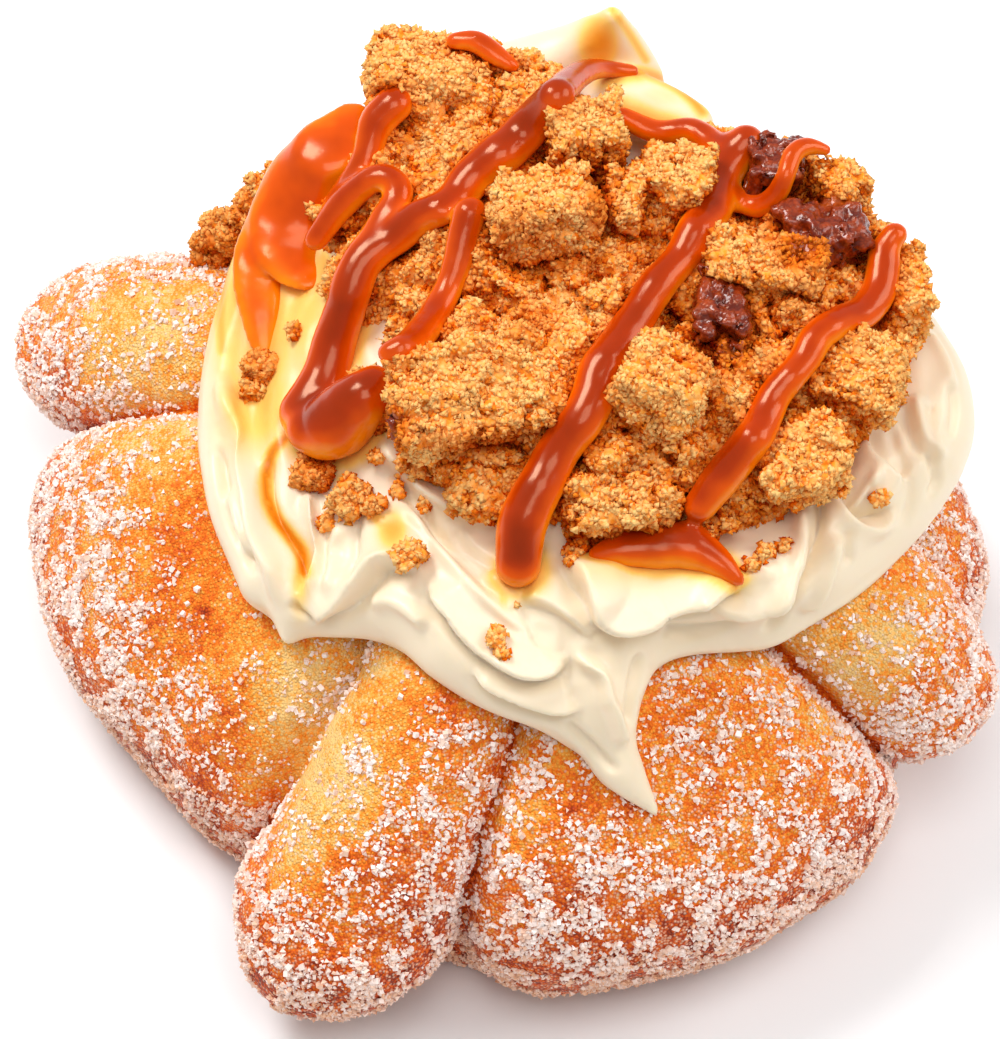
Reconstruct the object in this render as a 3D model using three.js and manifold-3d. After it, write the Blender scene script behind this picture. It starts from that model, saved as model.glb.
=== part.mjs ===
// Pan de muerto with toppings: a sugared sweet bun under four crossed dough bones, a thick swirl
// of cream, a heap of biscuit crumble with large chunks, and ropes of caramel over it all.
// Millimetres, +Z up. The origin is the centre of the bun's flat underside, and the side that
// faces -Y is the front, where a tongue of cream runs down the bun.

import * as THREE from "three";
import { mergeVertices } from "three/addons/utils/BufferGeometryUtils.js";
import Module from "manifold-3d";

const wasm = await Module();
wasm.setup();

// ---------------------------------------------------------------- driving dimensions

const GAP = 0.3; // between touching pieces

// The bun: a flattened ball of dough, widest at EQUATOR_Z, standing on a flat foot.
const BUN_RADIUS = 57.8;
const BUN_HEIGHT = 42;
const EQUATOR_Z = 15;
const FOOT_RADIUS = 44;
const BUN_AROUND = 32;
const CRUST_RINGS = 6;
const SKIRT_RINGS = 4;
// Where the rim draws in beside the bones: the direction in degrees, how deep, and how wide.
const WAISTS = [
  { turn: 240, depth: 12.5, spread: 0.68 },
  { turn: 335, depth: 3.4, spread: 0.5 },
  { turn: 30, depth: 2.6, spread: 0.4 },
  { turn: 68, depth: 4, spread: 0.4 },
  { turn: 145, depth: 1.5, spread: 0.3 },
];

// The bones: dough strips from the crown to the rim, thin at the neck and round at the knob.
// Each one's direction at the crown and at its end, how far it reaches, and its size there.
const BONE_NECK_RADIUS = 12; // where each strip starts, from the bun's axis
const BONE_NECK_WIDTH = 19;
const BONE_THICKNESS = 16;
const BONE_AROUND = 10;
const BONE_STATIONS = 10;
const BONES = [
  { name: "bone_back_left", turns: [153, 150.5], reach: 67.5, width: 22, tip: 18 },
  { name: "bone_front_left", turns: [260, 246], reach: 61, width: 26, tip: 11 },
  { name: "bone_right", turns: [333, 340], reach: 60, width: 22, tip: 14 },
  { name: "bone_back_right", turns: [70, 66], reach: 60, width: 23, tip: 15 },
];

// The cream: a mound set off the bun's centre, with rolled folds and a tongue at the front.
const CREAM_CENTRE = [10, 6];
// The mound starts inside the bun, which cuts it.
const CREAM_MOUND = { floor: 27, shoulder: 41, crown: 55, around: 30, rings: 4 };
const CREAM_OUTLINE = [
  [-34, 10], [-33, -2], [-28, -13], [-21, -19], [-10, -22], [0, -27], [10, -30], [17, -26],
  [27, -23], [37, -17], [45, -9], [50, 2], [50, 13], [45, 25], [35, 33], [20, 37], [5, 42],
  [-9, 41], [-21, 38], [-30, 26],
];
const FOLD_AROUND = 8;
const FOLD_STATIONS = 6;
// Each fold is a roll of cream along a few points, with its radius at the start, middle and end.
const FOLDS = [
  { path: [[48, 14, 47], [49, 3, 45], [43, -8, 43.5], [34, -16, 43]], radii: [3, 5.5, 3] },
  { path: [[40, -8, 46], [31, -18, 45], [19, -21, 45], [10, -19, 45]], radii: [3, 5, 3.5] },
  { path: [[-28, 26, 45], [-31, 12, 42], [-31, -4, 40], [-26, -17, 38.5]], radii: [3, 4, 3.5] },
  { path: [[-22, 10, 46], [-25, -6, 43], [-24, -16, 41], [-24.3, -23.2, 37.6]], radii: [4, 4.5, 0.6] },
  { path: [[-15, -12, 44], [-8, -21, 43], [0, -27.5, 41.5], [8, -32, 39.5]], radii: [5, 7.5, 5.5] },
  { path: [[-23, -20, 40], [-12, -20, 43], [0, -22, 45], [10, -24, 45]], radii: [2.5, 5.5, 6] },
  { path: [[-2, 37, 53], [7, 39.5, 57], [12, 42.6, 66]], radii: [5, 4.5, 0.8] },
  { path: [[7, 35, 57], [14, 35, 58.5], [20, 31, 57]], radii: [4, 4.5, 3.5] },
];
const TONGUE = {
  path: [[10, -26, 44], [12, -32.5, 40.5], [13.5, -37.5, 37.3], [16.3, -43, 32.4]],
  radii: [9, 4.2, 0.5],
};

// The crumble: a core of fine crumbs on the cream, with chunks sunk into it.
const HEAP_CENTRE = [12, 8];
const HEAP_MOUND = { floor: 44, shoulder: 50, crown: 62, around: 24, rings: 4 };
const HEAP_OUTLINE = [
  [-18, 9], [-15, -3], [-10, -11], [0, -16], [10, -18.5], [20, -17], [30, -14], [37, -7],
  [43, 1], [45, 11], [44, 20], [36, 27], [25, 29.5], [13, 30], [6, 35], [-5, 41], [-15, 42],
  [-21, 34], [-21, 22],
];
// Each chunk: its middle, its size along its own axes, its turn about Z and its lean about X.
const CHUNKS = [
  { name: "crumble_chunk_crown", at: [8.7, 24.6, 67], size: [10, 9, 9.5], turn: 10, lean: 5 },
  { name: "crumble_chunk_middle", at: [4, 14.6, 65.5], size: [13.5, 10, 10], turn: 12, lean: -8 },
  { name: "crumble_slab", at: [-2.6, -5.5, 59], size: [22, 13, 12], turn: 16, lean: 18 },
  { name: "crumble_chunk_front", at: [15.9, -6.6, 59.5], size: [12, 13, 13], turn: 60, lean: 12 },
  { name: "crumble_chunk_spur", at: [12.8, 17.3, 63], size: [6, 9, 9], turn: -10, lean: 5 },
  { name: "crumble_chunk_upper", at: [18, 20.5, 64], size: [11, 10, 9], turn: -20, lean: -8 },
  { name: "crumble_chunk_right", at: [28.3, 9, 61.5], size: [15, 10, 10], turn: -8, lean: 8 },
  { name: "crumble_chunk_edge", at: [37.5, -0.5, 56.5], size: [12, 11, 11], turn: -15, lean: 12 },
  { name: "crumble_chunk_low_right", at: [31, -11.5, 55], size: [13, 11, 10], turn: 20, lean: 12 },
  { name: "crumble_chunk_far_right", at: [44.5, 10.5, 56], size: [8, 13, 12], turn: 8, lean: 0 },
  { name: "crumble_chunk_ridge", at: [37, 21.5, 61], size: [8, 9, 9], turn: 40, lean: -10 },
  { name: "crumble_chunk_back", at: [-9, 37.5, 60.5], size: [17, 12, 13], turn: -8, lean: -10 },
  { name: "crumble_chunk_behind", at: [2.5, 33.5, 61], size: [11, 9, 9], turn: 20, lean: 0 },
  { name: "crumble_chunk_small_front", at: [-2.5, -14, 53], size: [9, 7, 7], turn: -15, lean: 15 },
  { name: "crumble_chunk_lip", at: [10.4, -15.6, 54], size: [12, 8, 8], turn: 5, lean: 18 },
  { name: "crumble_chunk_glazed_top", at: [29.9, 23.5, 62.5], size: [7, 8, 7], turn: 0, lean: 0 },
  { name: "crumble_chunk_glazed_side", at: [35, 15.5, 60], size: [9, 9, 8], turn: 25, lean: 0 },
  { name: "crumble_chunk_glazed_low", at: [23.2, 4.2, 60], size: [7, 9, 8], turn: 0, lean: 0 },
  { name: "crumble_stray_upper", at: [-27.5, 35, 43.5], size: [8, 6.5, 8], turn: 30, lean: 0 },
  { name: "crumble_stray_lower", at: [-34.5, 31.5, 37.5], size: [8, 7, 8], turn: -20, lean: 0 },
];

// The caramel: each rope's route from above, and its width at the start, middle and end. A rope
// lies on whatever is under it, and bridges the dips between two chunks.
const ROPE_AROUND = 6;
const ROPE_SINK = 0.12; // share of a rope's half height that is pressed into what carries it
const ROPE_FLATNESS = 0.78; // height over width
const ROPE_STEP = 5; // between two stations
const ROPES = [
  {
    name: "caramel_left_sheet",
    route: [[-18, 37.5], [-21, 33], [-25.5, 28], [-27.5, 22], [-28, 16], [-28, 10.5]],
    widths: [5, 7, 3],
  },
  { name: "caramel_left_knob", route: [[-13, 33.8], [-15.8, 32], [-17.5, 29]], widths: [4, 3.6, 3] },
  {
    name: "caramel_left_loop",
    route: [[-22, 23], [-19, 26.5], [-15, 29], [-12.6, 26], [-14.5, 21], [-16, 17.5]],
    widths: [3.4, 3.4, 3.4],
  },
  {
    name: "caramel_long_left",
    route: [
      [14, 34.5], [9, 35], [4.8, 31.7], [0.7, 26.4], [-4, 22], [-9.9, 19], [-14.5, 16],
      [-17.8, 11], [-19.5, 5], [-21.5, -1.5],
    ],
    widths: [4, 5, 6],
  },
  { name: "caramel_left_pool", route: [[-24, -2.5], [-20.5, -3.5], [-16, -0.5]], widths: [6, 8, 5] },
  { name: "caramel_branch", route: [[-4.6, 17.7], [-6, 11], [-9, 4.5], [-13, 1.6]], widths: [3.8, 3.8, 4] },
  {
    name: "caramel_main",
    route: [
      [27.5, 25.4], [24.5, 22.5], [22.5, 17.5], [18, 11.5], [13.4, 5], [9, -1.5], [5, -8.5],
      [2, -14], [1.3, -20.5],
    ],
    widths: [5, 5, 6],
  },
  { name: "caramel_top_link", route: [[13.5, 29.6], [18, 27], [22.5, 25.5]], widths: [3.6, 3.6, 3.4] },
  {
    name: "caramel_small_loop",
    route: [[26, 16.3], [29.5, 17.4], [31, 20.6], [32.5, 24.5], [35.6, 25]],
    widths: [3, 3, 3],
  },
  {
    name: "caramel_right",
    route: [
      [43.5, 16], [41.8, 12.6], [40.5, 7.5], [36.5, 5], [32.5, 0], [28.5, -6], [25, -12], [21.5, -17],
    ],
    widths: [3.6, 4.6, 4.6],
  },
  { name: "caramel_pool", route: [[9.5, -20.5], [15, -20], [21, -19.5], [25, -21]], widths: [3, 6.5, 3] },
  { name: "caramel_back", route: [[-7, 39], [-3, 38.5], [1, 36]], widths: [3.4, 3.2, 3] },
];

const COLOURS = {
  crust: [0xd98a3c, 0.62],
  bone: [0xe09a4a, 0.62],
  cream: [0xf7efd2, 0.35],
  crumb: [0xd79a52, 0.9],
  glazed: [0x7a2c12, 0.25],
  caramel: [0xb3430c, 0.12],
};

// ---------------------------------------------------------------- shape helpers

const radians = THREE.MathUtils.degToRad;
const { lerp, clamp } = THREE.MathUtils;

/** A smooth, repeatable unevenness between about -1 and 1. */
function unevenness(x, y, z) {
  return (
    Math.sin(0.31 * x + 1.7 * Math.sin(0.13 * y + 0.4)) * 0.5 +
    Math.sin(0.27 * y - 0.11 * z + 2.1) * 0.3 +
    Math.sin(0.23 * z + 0.19 * x + 0.9) * 0.2
  );
}

/** A value that runs through three figures, from the start over the middle to the end. */
function through([first, middle, last], t) {
  return t < 0.5 ? lerp(first, middle, 2 * t) : lerp(middle, last, 2 * t - 1);
}

/** A closed surface over rings of points, closed by a point at each end. */
function closedRings(first, rings, last) {
  const around = rings[0].length;
  const points = [first, ...rings.flat(), last];
  const index = [];
  for (let i = 0; i < around; i++) {
    const next = (i + 1) % around;
    index.push(0, 1 + i, 1 + next);
    for (let ring = 0; ring < rings.length - 1; ring++) {
      const a = 1 + ring * around;
      const b = a + around;
      index.push(a + i, b + i, b + next, a + i, b + next, a + next);
    }
    const end = 1 + (rings.length - 1) * around;
    index.push(end + i, points.length - 1, end + next);
  }
  const geometry = new THREE.BufferGeometry().setFromPoints(points);
  geometry.setIndex(index);
  return geometry;
}

/** A geometry as a solid, whichever way its faces turn. */
function solidOf(geometry) {
  const bare = geometry.clone();
  bare.deleteAttribute("normal");
  bare.deleteAttribute("uv");
  const merged = mergeVertices(bare, 1e-3);
  const vertProperties = merged.attributes.position.array;
  const triVerts = new Uint32Array(merged.index.array);
  const made = new wasm.Manifold(new wasm.Mesh({ numProp: 3, vertProperties, triVerts }));
  if (made.volume() > 0) return made;
  for (let i = 0; i < triVerts.length; i += 3) {
    [triVerts[i + 1], triVerts[i + 2]] = [triVerts[i + 2], triVerts[i + 1]];
  }
  return new wasm.Manifold(new wasm.Mesh({ numProp: 3, vertProperties, triVerts }));
}

/** The largest connected body of a solid, because a cut can leave crumbs behind. */
function largest(solid) {
  return solid.decompose().reduce((a, b) => (a.volume() > b.volume() ? a : b));
}

function joined(solids) {
  return solids.reduce((a, b) => a.add(b));
}

function cutBy(solid, cutters) {
  return largest(cutters.reduce((left, cutter) => left.subtract(cutter), solid));
}

function geometryOf(solid) {
  const { numProp, numVert, vertProperties, triVerts } = solid.getMesh();
  const positions = new Float32Array(numVert * 3);
  for (let i = 0; i < numVert; i++) {
    positions.set(vertProperties.subarray(i * numProp, i * numProp + 3), i * 3);
  }
  const geometry = new THREE.BufferGeometry();
  geometry.setAttribute("position", new THREE.BufferAttribute(positions, 3));
  geometry.setIndex(new THREE.BufferAttribute(triVerts, 1));
  geometry.computeVertexNormals();
  return geometry;
}

/**
 * A roll along a curve, with an upright elliptical section and round ends.
 * halfWidth and halfHeight take the share of the way along.
 */
function roll(curve, stations, around, halfWidth, halfHeight, grow) {
  const up = new THREE.Vector3(0, 0, 1);
  const rings = [];
  for (let k = 1; k < stations; k++) {
    const t = crowdedEnds(k / stations);
    const centre = curve.getPointAt(t);
    const along = curve.getTangentAt(t);
    const side = new THREE.Vector3().crossVectors(along, up).normalize();
    const rise = new THREE.Vector3().crossVectors(side, along).normalize();
    const ring = [];
    for (let i = 0; i < around; i++) {
      const turn = (2 * Math.PI * i) / around;
      ring.push(
        centre
          .clone()
          .addScaledVector(side, (halfWidth(t) + grow) * Math.cos(turn))
          .addScaledVector(rise, (halfHeight(t) + grow) * Math.sin(turn)),
      );
    }
    rings.push(ring);
  }
  const [start, end] = [0, 1].map((t) =>
    curve.getPointAt(t).addScaledVector(curve.getTangentAt(t), t ? grow : -grow),
  );
  return solidOf(closedRings(start, rings, end));
}

/** Moves the stations of a roll towards its two ends, where the shape turns fastest. */
function crowdedEnds(t) {
  return lerp(t, 0.5 - 0.5 * Math.cos(Math.PI * t), 0.75);
}

function smoothCurve(points) {
  return new THREE.CatmullRomCurve3(points.map((p) => new THREE.Vector3(...p)));
}

/** How far a round end has closed, for the share t of the way along. */
function roundEnd(t, blunt) {
  const from = clamp(1 - t / blunt, 0, 1);
  const to = clamp(1 - (1 - t) / blunt, 0, 1);
  return Math.sqrt(1 - Math.max(from, to) ** 2);
}

// ---------------------------------------------------------------- bread

/** The bun's widest radius in one direction. */
function rimRadius(turn) {
  return WAISTS.reduce((radius, waist) => {
    const away = turn - radians(waist.turn);
    const wrapped = Math.atan2(Math.sin(away), Math.cos(away));
    return radius - waist.depth * Math.exp(-((wrapped / waist.spread) ** 2));
  }, BUN_RADIUS);
}

/** Height of the crust at a share of the rim radius. */
function crustHeight(share) {
  return EQUATOR_Z + (BUN_HEIGHT - EQUATOR_Z) * (1 - clamp(share, 0, 1) ** 2.3) ** 0.62;
}

function bun(grow) {
  const ring = (radiusAt, z) =>
    Array.from({ length: BUN_AROUND }, (_, i) => {
      const turn = (2 * Math.PI * i) / BUN_AROUND;
      const r = radiusAt(turn);
      return new THREE.Vector3(r * Math.cos(turn), r * Math.sin(turn), z);
    });
  const rings = [];
  for (let k = 1; k <= CRUST_RINGS; k++) {
    const share = Math.sin((Math.PI / 2) * (k / CRUST_RINGS)) ** 0.9;
    rings.push(ring((turn) => rimRadius(turn) * share + grow, crustHeight(share) + grow));
  }
  for (let k = 1; k <= SKIRT_RINGS; k++) {
    const drop = (Math.PI / 2) * (k / SKIRT_RINGS);
    const radiusAt = (turn) => lerp(FOOT_RADIUS, rimRadius(turn), Math.cos(drop)) + grow;
    rings.push(ring(radiusAt, EQUATOR_Z * (1 - Math.sin(drop))));
  }
  const crown = new THREE.Vector3(0, 0, BUN_HEIGHT + grow);
  return solidOf(closedRings(crown, rings, new THREE.Vector3(0, 0, 0)));
}

function bone({ turns, reach, width, tip }, grow) {
  const knob = reach - 0.45 * width;
  const at = (share, radius, z) => {
    const angle = radians(lerp(...turns, share));
    return [radius * Math.cos(angle), radius * Math.sin(angle), z];
  };
  const curve = smoothCurve([
    at(0, BONE_NECK_RADIUS, BUN_HEIGHT - 2.5),
    at(0.4, lerp(BONE_NECK_RADIUS, knob, 0.45), BUN_HEIGHT - 3.5),
    at(0.7, lerp(BONE_NECK_RADIUS, knob, 0.8), lerp(BUN_HEIGHT, tip, 0.42)),
    at(0.9, knob, lerp(BUN_HEIGHT, tip, 0.74)),
    at(1, reach, tip),
  ]);
  const fullness = (t) => roundEnd(t, 0.2);
  const halfWidth = (t) => (lerp(BONE_NECK_WIDTH, width, clamp(1.35 * t, 0, 1)) / 2) * fullness(t);
  const halfHeight = (t) => (BONE_THICKNESS / 2) * fullness(t);
  return roll(curve, BONE_STATIONS, BONE_AROUND, halfWidth, halfHeight, grow);
}

// ---------------------------------------------------------------- cream

/** Points all round a closed outline, at an even height. */
function outlinePoints(outline, count) {
  const curve = new THREE.CatmullRomCurve3(
    outline.map(([x, y]) => new THREE.Vector3(x, y, 0)),
    true,
  );
  return curve.getSpacedPoints(count).slice(0, count);
}

/** A mound over an outline: upright up to its shoulder, then closing over to its crown. */
function mound(outline, centre, { floor, shoulder, crown, around, rings: ringCount }, grow) {
  const middle = new THREE.Vector3(...centre, 0);
  const border = outlinePoints(outline, around);
  const ringAt = (share, z, waviness) =>
    border.map((p) => {
      const out = p.clone().sub(middle);
      out.setLength(out.length() * share + grow);
      return middle.clone().add(out).setZ(z + waviness * unevenness(2 * p.x, 2 * p.y, z));
    });
  const rings = [ringAt(0.9, floor - grow, 0)];
  for (let k = 0; k <= ringCount; k++) {
    const rise = (Math.PI / 2) * (k / (ringCount + 1));
    rings.push(ringAt(Math.cos(rise) ** 0.8, lerp(shoulder, crown, Math.sin(rise)) + grow, 0.8));
  }
  const top = middle.clone().setZ(crown + grow);
  return solidOf(closedRings(middle.clone().setZ(floor - grow), rings, top));
}

function fold({ path, radii }, grow) {
  const halfWidth = (t) => through(radii, t) * roundEnd(t, 0.25);
  return roll(smoothCurve(path), FOLD_STATIONS, FOLD_AROUND, halfWidth, halfWidth, grow);
}

function cream(grow) {
  const body = mound(CREAM_OUTLINE, CREAM_CENTRE, CREAM_MOUND, grow);
  return joined([body, ...[...FOLDS, TONGUE].map((f) => fold(f, grow))]);
}

// ---------------------------------------------------------------- crumble

function heap(grow) {
  return mound(HEAP_OUTLINE, HEAP_CENTRE, HEAP_MOUND, grow);
}

/** A broken lump of biscuit: a ball with flattened and dented sides. */
function chunk({ at, size, turn, lean }, grow) {
  const lump = new THREE.IcosahedronGeometry(1, 1);
  lump.deleteAttribute("normal");
  lump.deleteAttribute("uv");
  const points = lump.attributes.position;
  const seed = at[0] + 3 * at[1];
  const pose = new THREE.Matrix4().makeRotationFromEuler(
    new THREE.Euler(radians(lean), 0, radians(turn), "ZYX"),
  );
  for (let i = 0; i < points.count; i++) {
    const p = new THREE.Vector3().fromBufferAttribute(points, i);
    const square = Math.max(Math.abs(p.x), Math.abs(p.y), Math.abs(p.z));
    const dents = 1 + 0.1 * unevenness(9 * p.x + seed, 9 * p.y - seed, 9 * p.z);
    p.multiplyScalar(dents * lerp(1, 0.86 / square, 0.45));
    p.set((p.x * size[0]) / 2, (p.y * size[1]) / 2, (p.z * size[2]) / 2);
    p.setLength(p.length() + 1.3 * grow).applyMatrix4(pose);
    points.setXYZ(i, p.x + at[0], p.y + at[1], p.z + at[2]);
  }
  return solidOf(lump);
}

// ---------------------------------------------------------------- caramel

/** Height of the highest of some meshes straight under a point. */
function topAt(meshes, x, y) {
  const down = new THREE.Raycaster(new THREE.Vector3(x, y, 200), new THREE.Vector3(0, 0, -1));
  const hit = down.intersectObjects(meshes)[0];
  return hit ? hit.point.z : 0;
}

/** The route of a rope in space, lying on the meshes and bridging their dips. */
function lay({ route, widths }, carriers) {
  const plan = smoothCurve(route.map(([x, y]) => [x, y, 0]));
  const count = Math.max(4, Math.round(plan.getLength() / ROPE_STEP));
  const points = plan.getSpacedPoints(count);
  const ground = points.map((p) => topAt(carriers, p.x, p.y));
  return points.map((p, i) => {
    const near = ground.slice(Math.max(0, i - 2), i + 3);
    const average = near.reduce((a, b) => a + b) / near.length;
    const halfHeight = (through(widths, i / count) / 2) * ROPE_FLATNESS;
    const z = Math.max(ground[i], average) + halfHeight * (1 - ROPE_SINK);
    return [p.x, p.y, z];
  });
}

function rope({ widths }, laid, grow) {
  const halfWidth = (t) => (through(widths, t) / 2) * roundEnd(t, 0.16);
  const halfHeight = (t) => halfWidth(t) * ROPE_FLATNESS;
  return roll(smoothCurve(laid), laid.length + 3, ROPE_AROUND, halfWidth, halfHeight, grow);
}

// ---------------------------------------------------------------- the whole

function material([colour, roughness]) {
  return new THREE.MeshStandardMaterial({ color: colour, roughness, metalness: 0 });
}

function node(name, solid, look) {
  const mesh = new THREE.Mesh(geometryOf(solid), material(look));
  mesh.name = name;
  return mesh;
}

const boneSolids = BONES.map((b) => bone(b, 0));
const bonesGrown = BONES.map((b) => bone(b, GAP));
const breadGrown = [bun(GAP), ...bonesGrown];
const creamGrown = cream(GAP);
const chunksGrown = CHUNKS.map((c) => chunk(c, GAP));

// Each piece gives way to the ones that it lies on, and a chunk also to the chunks before it.
const toppings = {
  cream: cutBy(cream(0), breadGrown),
  crumble_heap: cutBy(heap(0), [creamGrown]),
};
const carriersGrown = [...breadGrown, creamGrown, heap(GAP)];
CHUNKS.forEach((c, i) => {
  toppings[c.name] = cutBy(chunk(c, 0), [...carriersGrown, ...chunksGrown.slice(0, i)]);
});

const group = new THREE.Group();
group.add(node("bun", cutBy(bun(0), bonesGrown), COLOURS.crust));
BONES.forEach((b, i) => group.add(node(b.name, boneSolids[i], COLOURS.bone)));
for (const [name, solid] of Object.entries(toppings)) {
  const look = name.includes("glazed") ? "glazed" : name === "cream" ? "cream" : "crumb";
  group.add(node(name, solid, COLOURS[look]));
}

const carriers = [...group.children];
const routes = ROPES.map((r) => lay(r, carriers));
const ropesGrown = ROPES.map((r, i) => rope(r, routes[i], GAP));
ROPES.forEach((r, i) => {
  const under = [...carriersGrown, ...chunksGrown, ...ropesGrown.slice(0, i)];
  group.add(node(r.name, cutBy(rope(r, routes[i], 0), under), COLOURS.caramel));
});

export default group;
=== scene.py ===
import itertools
import math

import bpy
import numpy as np
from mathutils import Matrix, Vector
from mathutils.bvhtree import BVHTree
from mathutils.kdtree import KDTree


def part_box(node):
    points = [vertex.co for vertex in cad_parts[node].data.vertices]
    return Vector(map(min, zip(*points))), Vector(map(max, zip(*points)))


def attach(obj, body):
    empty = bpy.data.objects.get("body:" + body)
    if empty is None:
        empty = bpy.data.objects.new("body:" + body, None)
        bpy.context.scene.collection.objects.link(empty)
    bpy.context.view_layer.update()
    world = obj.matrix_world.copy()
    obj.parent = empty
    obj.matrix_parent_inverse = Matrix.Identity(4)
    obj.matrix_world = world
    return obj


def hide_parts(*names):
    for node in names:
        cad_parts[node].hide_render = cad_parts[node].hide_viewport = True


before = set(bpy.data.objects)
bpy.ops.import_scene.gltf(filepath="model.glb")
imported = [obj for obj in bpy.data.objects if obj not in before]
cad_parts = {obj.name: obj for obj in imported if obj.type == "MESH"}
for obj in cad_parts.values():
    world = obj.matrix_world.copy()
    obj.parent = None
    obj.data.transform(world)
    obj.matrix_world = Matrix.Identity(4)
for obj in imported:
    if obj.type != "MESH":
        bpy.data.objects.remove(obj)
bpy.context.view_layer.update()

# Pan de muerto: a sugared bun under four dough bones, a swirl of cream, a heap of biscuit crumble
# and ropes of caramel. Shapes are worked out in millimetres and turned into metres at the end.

MM = 0.001
BODY = "root"
FAR = 1000.0

# ---------------------------------------------------------------- camera

VIEW_TARGET = np.array([-1.0, 6.5, 16.0])
VIEW_DISTANCE = 450.0
VIEW_ELEVATION = math.radians(57)
VIEW_SCALE = 0.1207  # millimetres for each photo pixel at the target
PHOTO_WIDTH, PHOTO_HEIGHT = 1000, 1039
SENSOR = 36.0
CLIP = (0.01, 10)  # metres

AHEAD = np.array([0, math.cos(VIEW_ELEVATION), -math.sin(VIEW_ELEVATION)])
UP = np.array([0, math.sin(VIEW_ELEVATION), math.cos(VIEW_ELEVATION)])
RIGHT = np.array([1.0, 0, 0])
EYE = VIEW_TARGET - VIEW_DISTANCE * AHEAD
FOCAL = VIEW_DISTANCE / VIEW_SCALE  # in photo pixels


def make_camera():
    data = bpy.data.cameras.new("camera")
    data.sensor_width = SENSOR
    data.lens = SENSOR * FOCAL / max(PHOTO_WIDTH, PHOTO_HEIGHT)
    data.clip_start, data.clip_end = CLIP
    camera = bpy.data.objects.new("camera", data)
    camera.location = EYE * MM
    camera.rotation_euler = (math.pi / 2 - VIEW_ELEVATION, 0, 0)
    bpy.context.scene.collection.objects.link(camera)
    bpy.context.scene.camera = camera


def pixels_of(points):
    """Where the photo shows these points, in its pixels."""
    depth = (points - EYE) @ AHEAD
    across = PHOTO_WIDTH / 2 + FOCAL * ((points - EYE) @ RIGHT) / depth
    down = PHOTO_HEIGHT / 2 - FOCAL * ((points - EYE) @ UP) / depth
    return np.stack([across, down], axis=1)


def sight(pixel):
    """The direction from the camera through a pixel."""
    across = (pixel[0] - PHOTO_WIDTH / 2) / FOCAL
    rise = (PHOTO_HEIGHT / 2 - pixel[1]) / FOCAL
    line = AHEAD + RIGHT * across + UP * rise
    return line / np.linalg.norm(line)


def land(pixel, ground):
    """The first point of the ground that the photo shows at a pixel."""
    spot = ground.ray_cast(Vector(EYE), Vector(sight(pixel)))[0]
    return np.array(spot) if spot is not None else None


# ---------------------------------------------------------------- noise

NOISE_TABLE = 256
CELL_TABLE = 4096
CELL_PRIMES = np.array([73856093, 19349663, 83492791])


def perlin(points, seed):
    """Smooth noise from about -0.8 to 0.8 with lumps one unit apart."""
    rng = np.random.default_rng(seed)
    shuffled = rng.permutation(NOISE_TABLE)
    slopes = rng.normal(size=(NOISE_TABLE, 3))
    slopes /= np.linalg.norm(slopes, axis=1, keepdims=True)
    cell = np.floor(points).astype(np.int64)
    local = points - cell
    fade = local ** 3 * (local * (local * 6 - 15) + 10)
    total = np.zeros(len(points))
    for corner in itertools.product((0, 1), repeat=3):
        place = (cell + corner) % NOISE_TABLE
        pick = shuffled[place[:, 0]]
        for axis in (1, 2):
            pick = shuffled[(pick + place[:, axis]) % NOISE_TABLE]
        weight = np.where(corner, fade, 1 - fade).prod(axis=1)
        total += weight * np.einsum("ij,ij->i", slopes[pick], local - corner)
    return total


def fbm(points, size, octaves, seed):
    """Noise with lumps of a size in millimetres, and finer ones on them."""
    total = np.zeros(len(points))
    for octave in range(octaves):
        total += perlin(points * 2 ** octave / size, seed + octave) / 2 ** octave
    return total


def cells(points, size, seed):
    """Scattered grains: how far each point is from the nearest one, as a share of their
    spacing, and a random number of that grain's own."""
    rng = np.random.default_rng(seed)
    spots = rng.random((CELL_TABLE, 3))
    shade = rng.random(CELL_TABLE)
    scaled = points / size
    base = np.floor(scaled).astype(np.int64)
    nearest = np.full(len(points), 9.0)
    owner = np.zeros(len(points), np.int64)
    for step in itertools.product((-1, 0, 1), repeat=3):
        cell = base + step
        pick = (cell @ CELL_PRIMES) % CELL_TABLE
        gap = np.linalg.norm(cell + spots[pick] - scaled, axis=1)
        closer = gap < nearest
        nearest[closer] = gap[closer]
        owner[closer] = pick[closer]
    return nearest, shade[owner]


# ---------------------------------------------------------------- curves and steps


def unit(vectors):
    return vectors / np.linalg.norm(vectors, axis=-1, keepdims=True)


def ramp(values, low, high):
    """0 at low, 1 at high, and smooth between."""
    share = np.clip((values - low) / (high - low), 0, 1)
    return share * share * (3 - 2 * share)


def spline(points, steps, closed=False):
    """Points along a smooth curve through the given ones."""
    given = np.array(points, float)
    if closed:
        padded = np.concatenate([given[-1:], given, given[:2]])
    else:
        padded = np.concatenate([2 * given[:1] - given[1:2], given, 2 * given[-1:] - given[-2:-1]])
    t = np.linspace(0, 1, steps, endpoint=False)[:, None]
    pieces = []
    for a, b, c, d in zip(padded, padded[1:], padded[2:], padded[3:]):
        bend, twist = 2 * a - 5 * b + 4 * c - d, 3 * b - a - 3 * c + d
        pieces.append(0.5 * (2 * b + (c - a) * t + bend * t ** 2 + twist * t ** 3))
    return np.concatenate(pieces if closed else pieces + [given[-1:]])


def at_share(share, numbers):
    """The number at each share of the way through evenly spread ones."""
    return np.interp(share, np.linspace(0, 1, len(numbers)), numbers)


def spread(numbers, count):
    """The numbers, spread evenly over a count of steps."""
    return at_share(np.linspace(0, 1, count), numbers)


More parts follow.
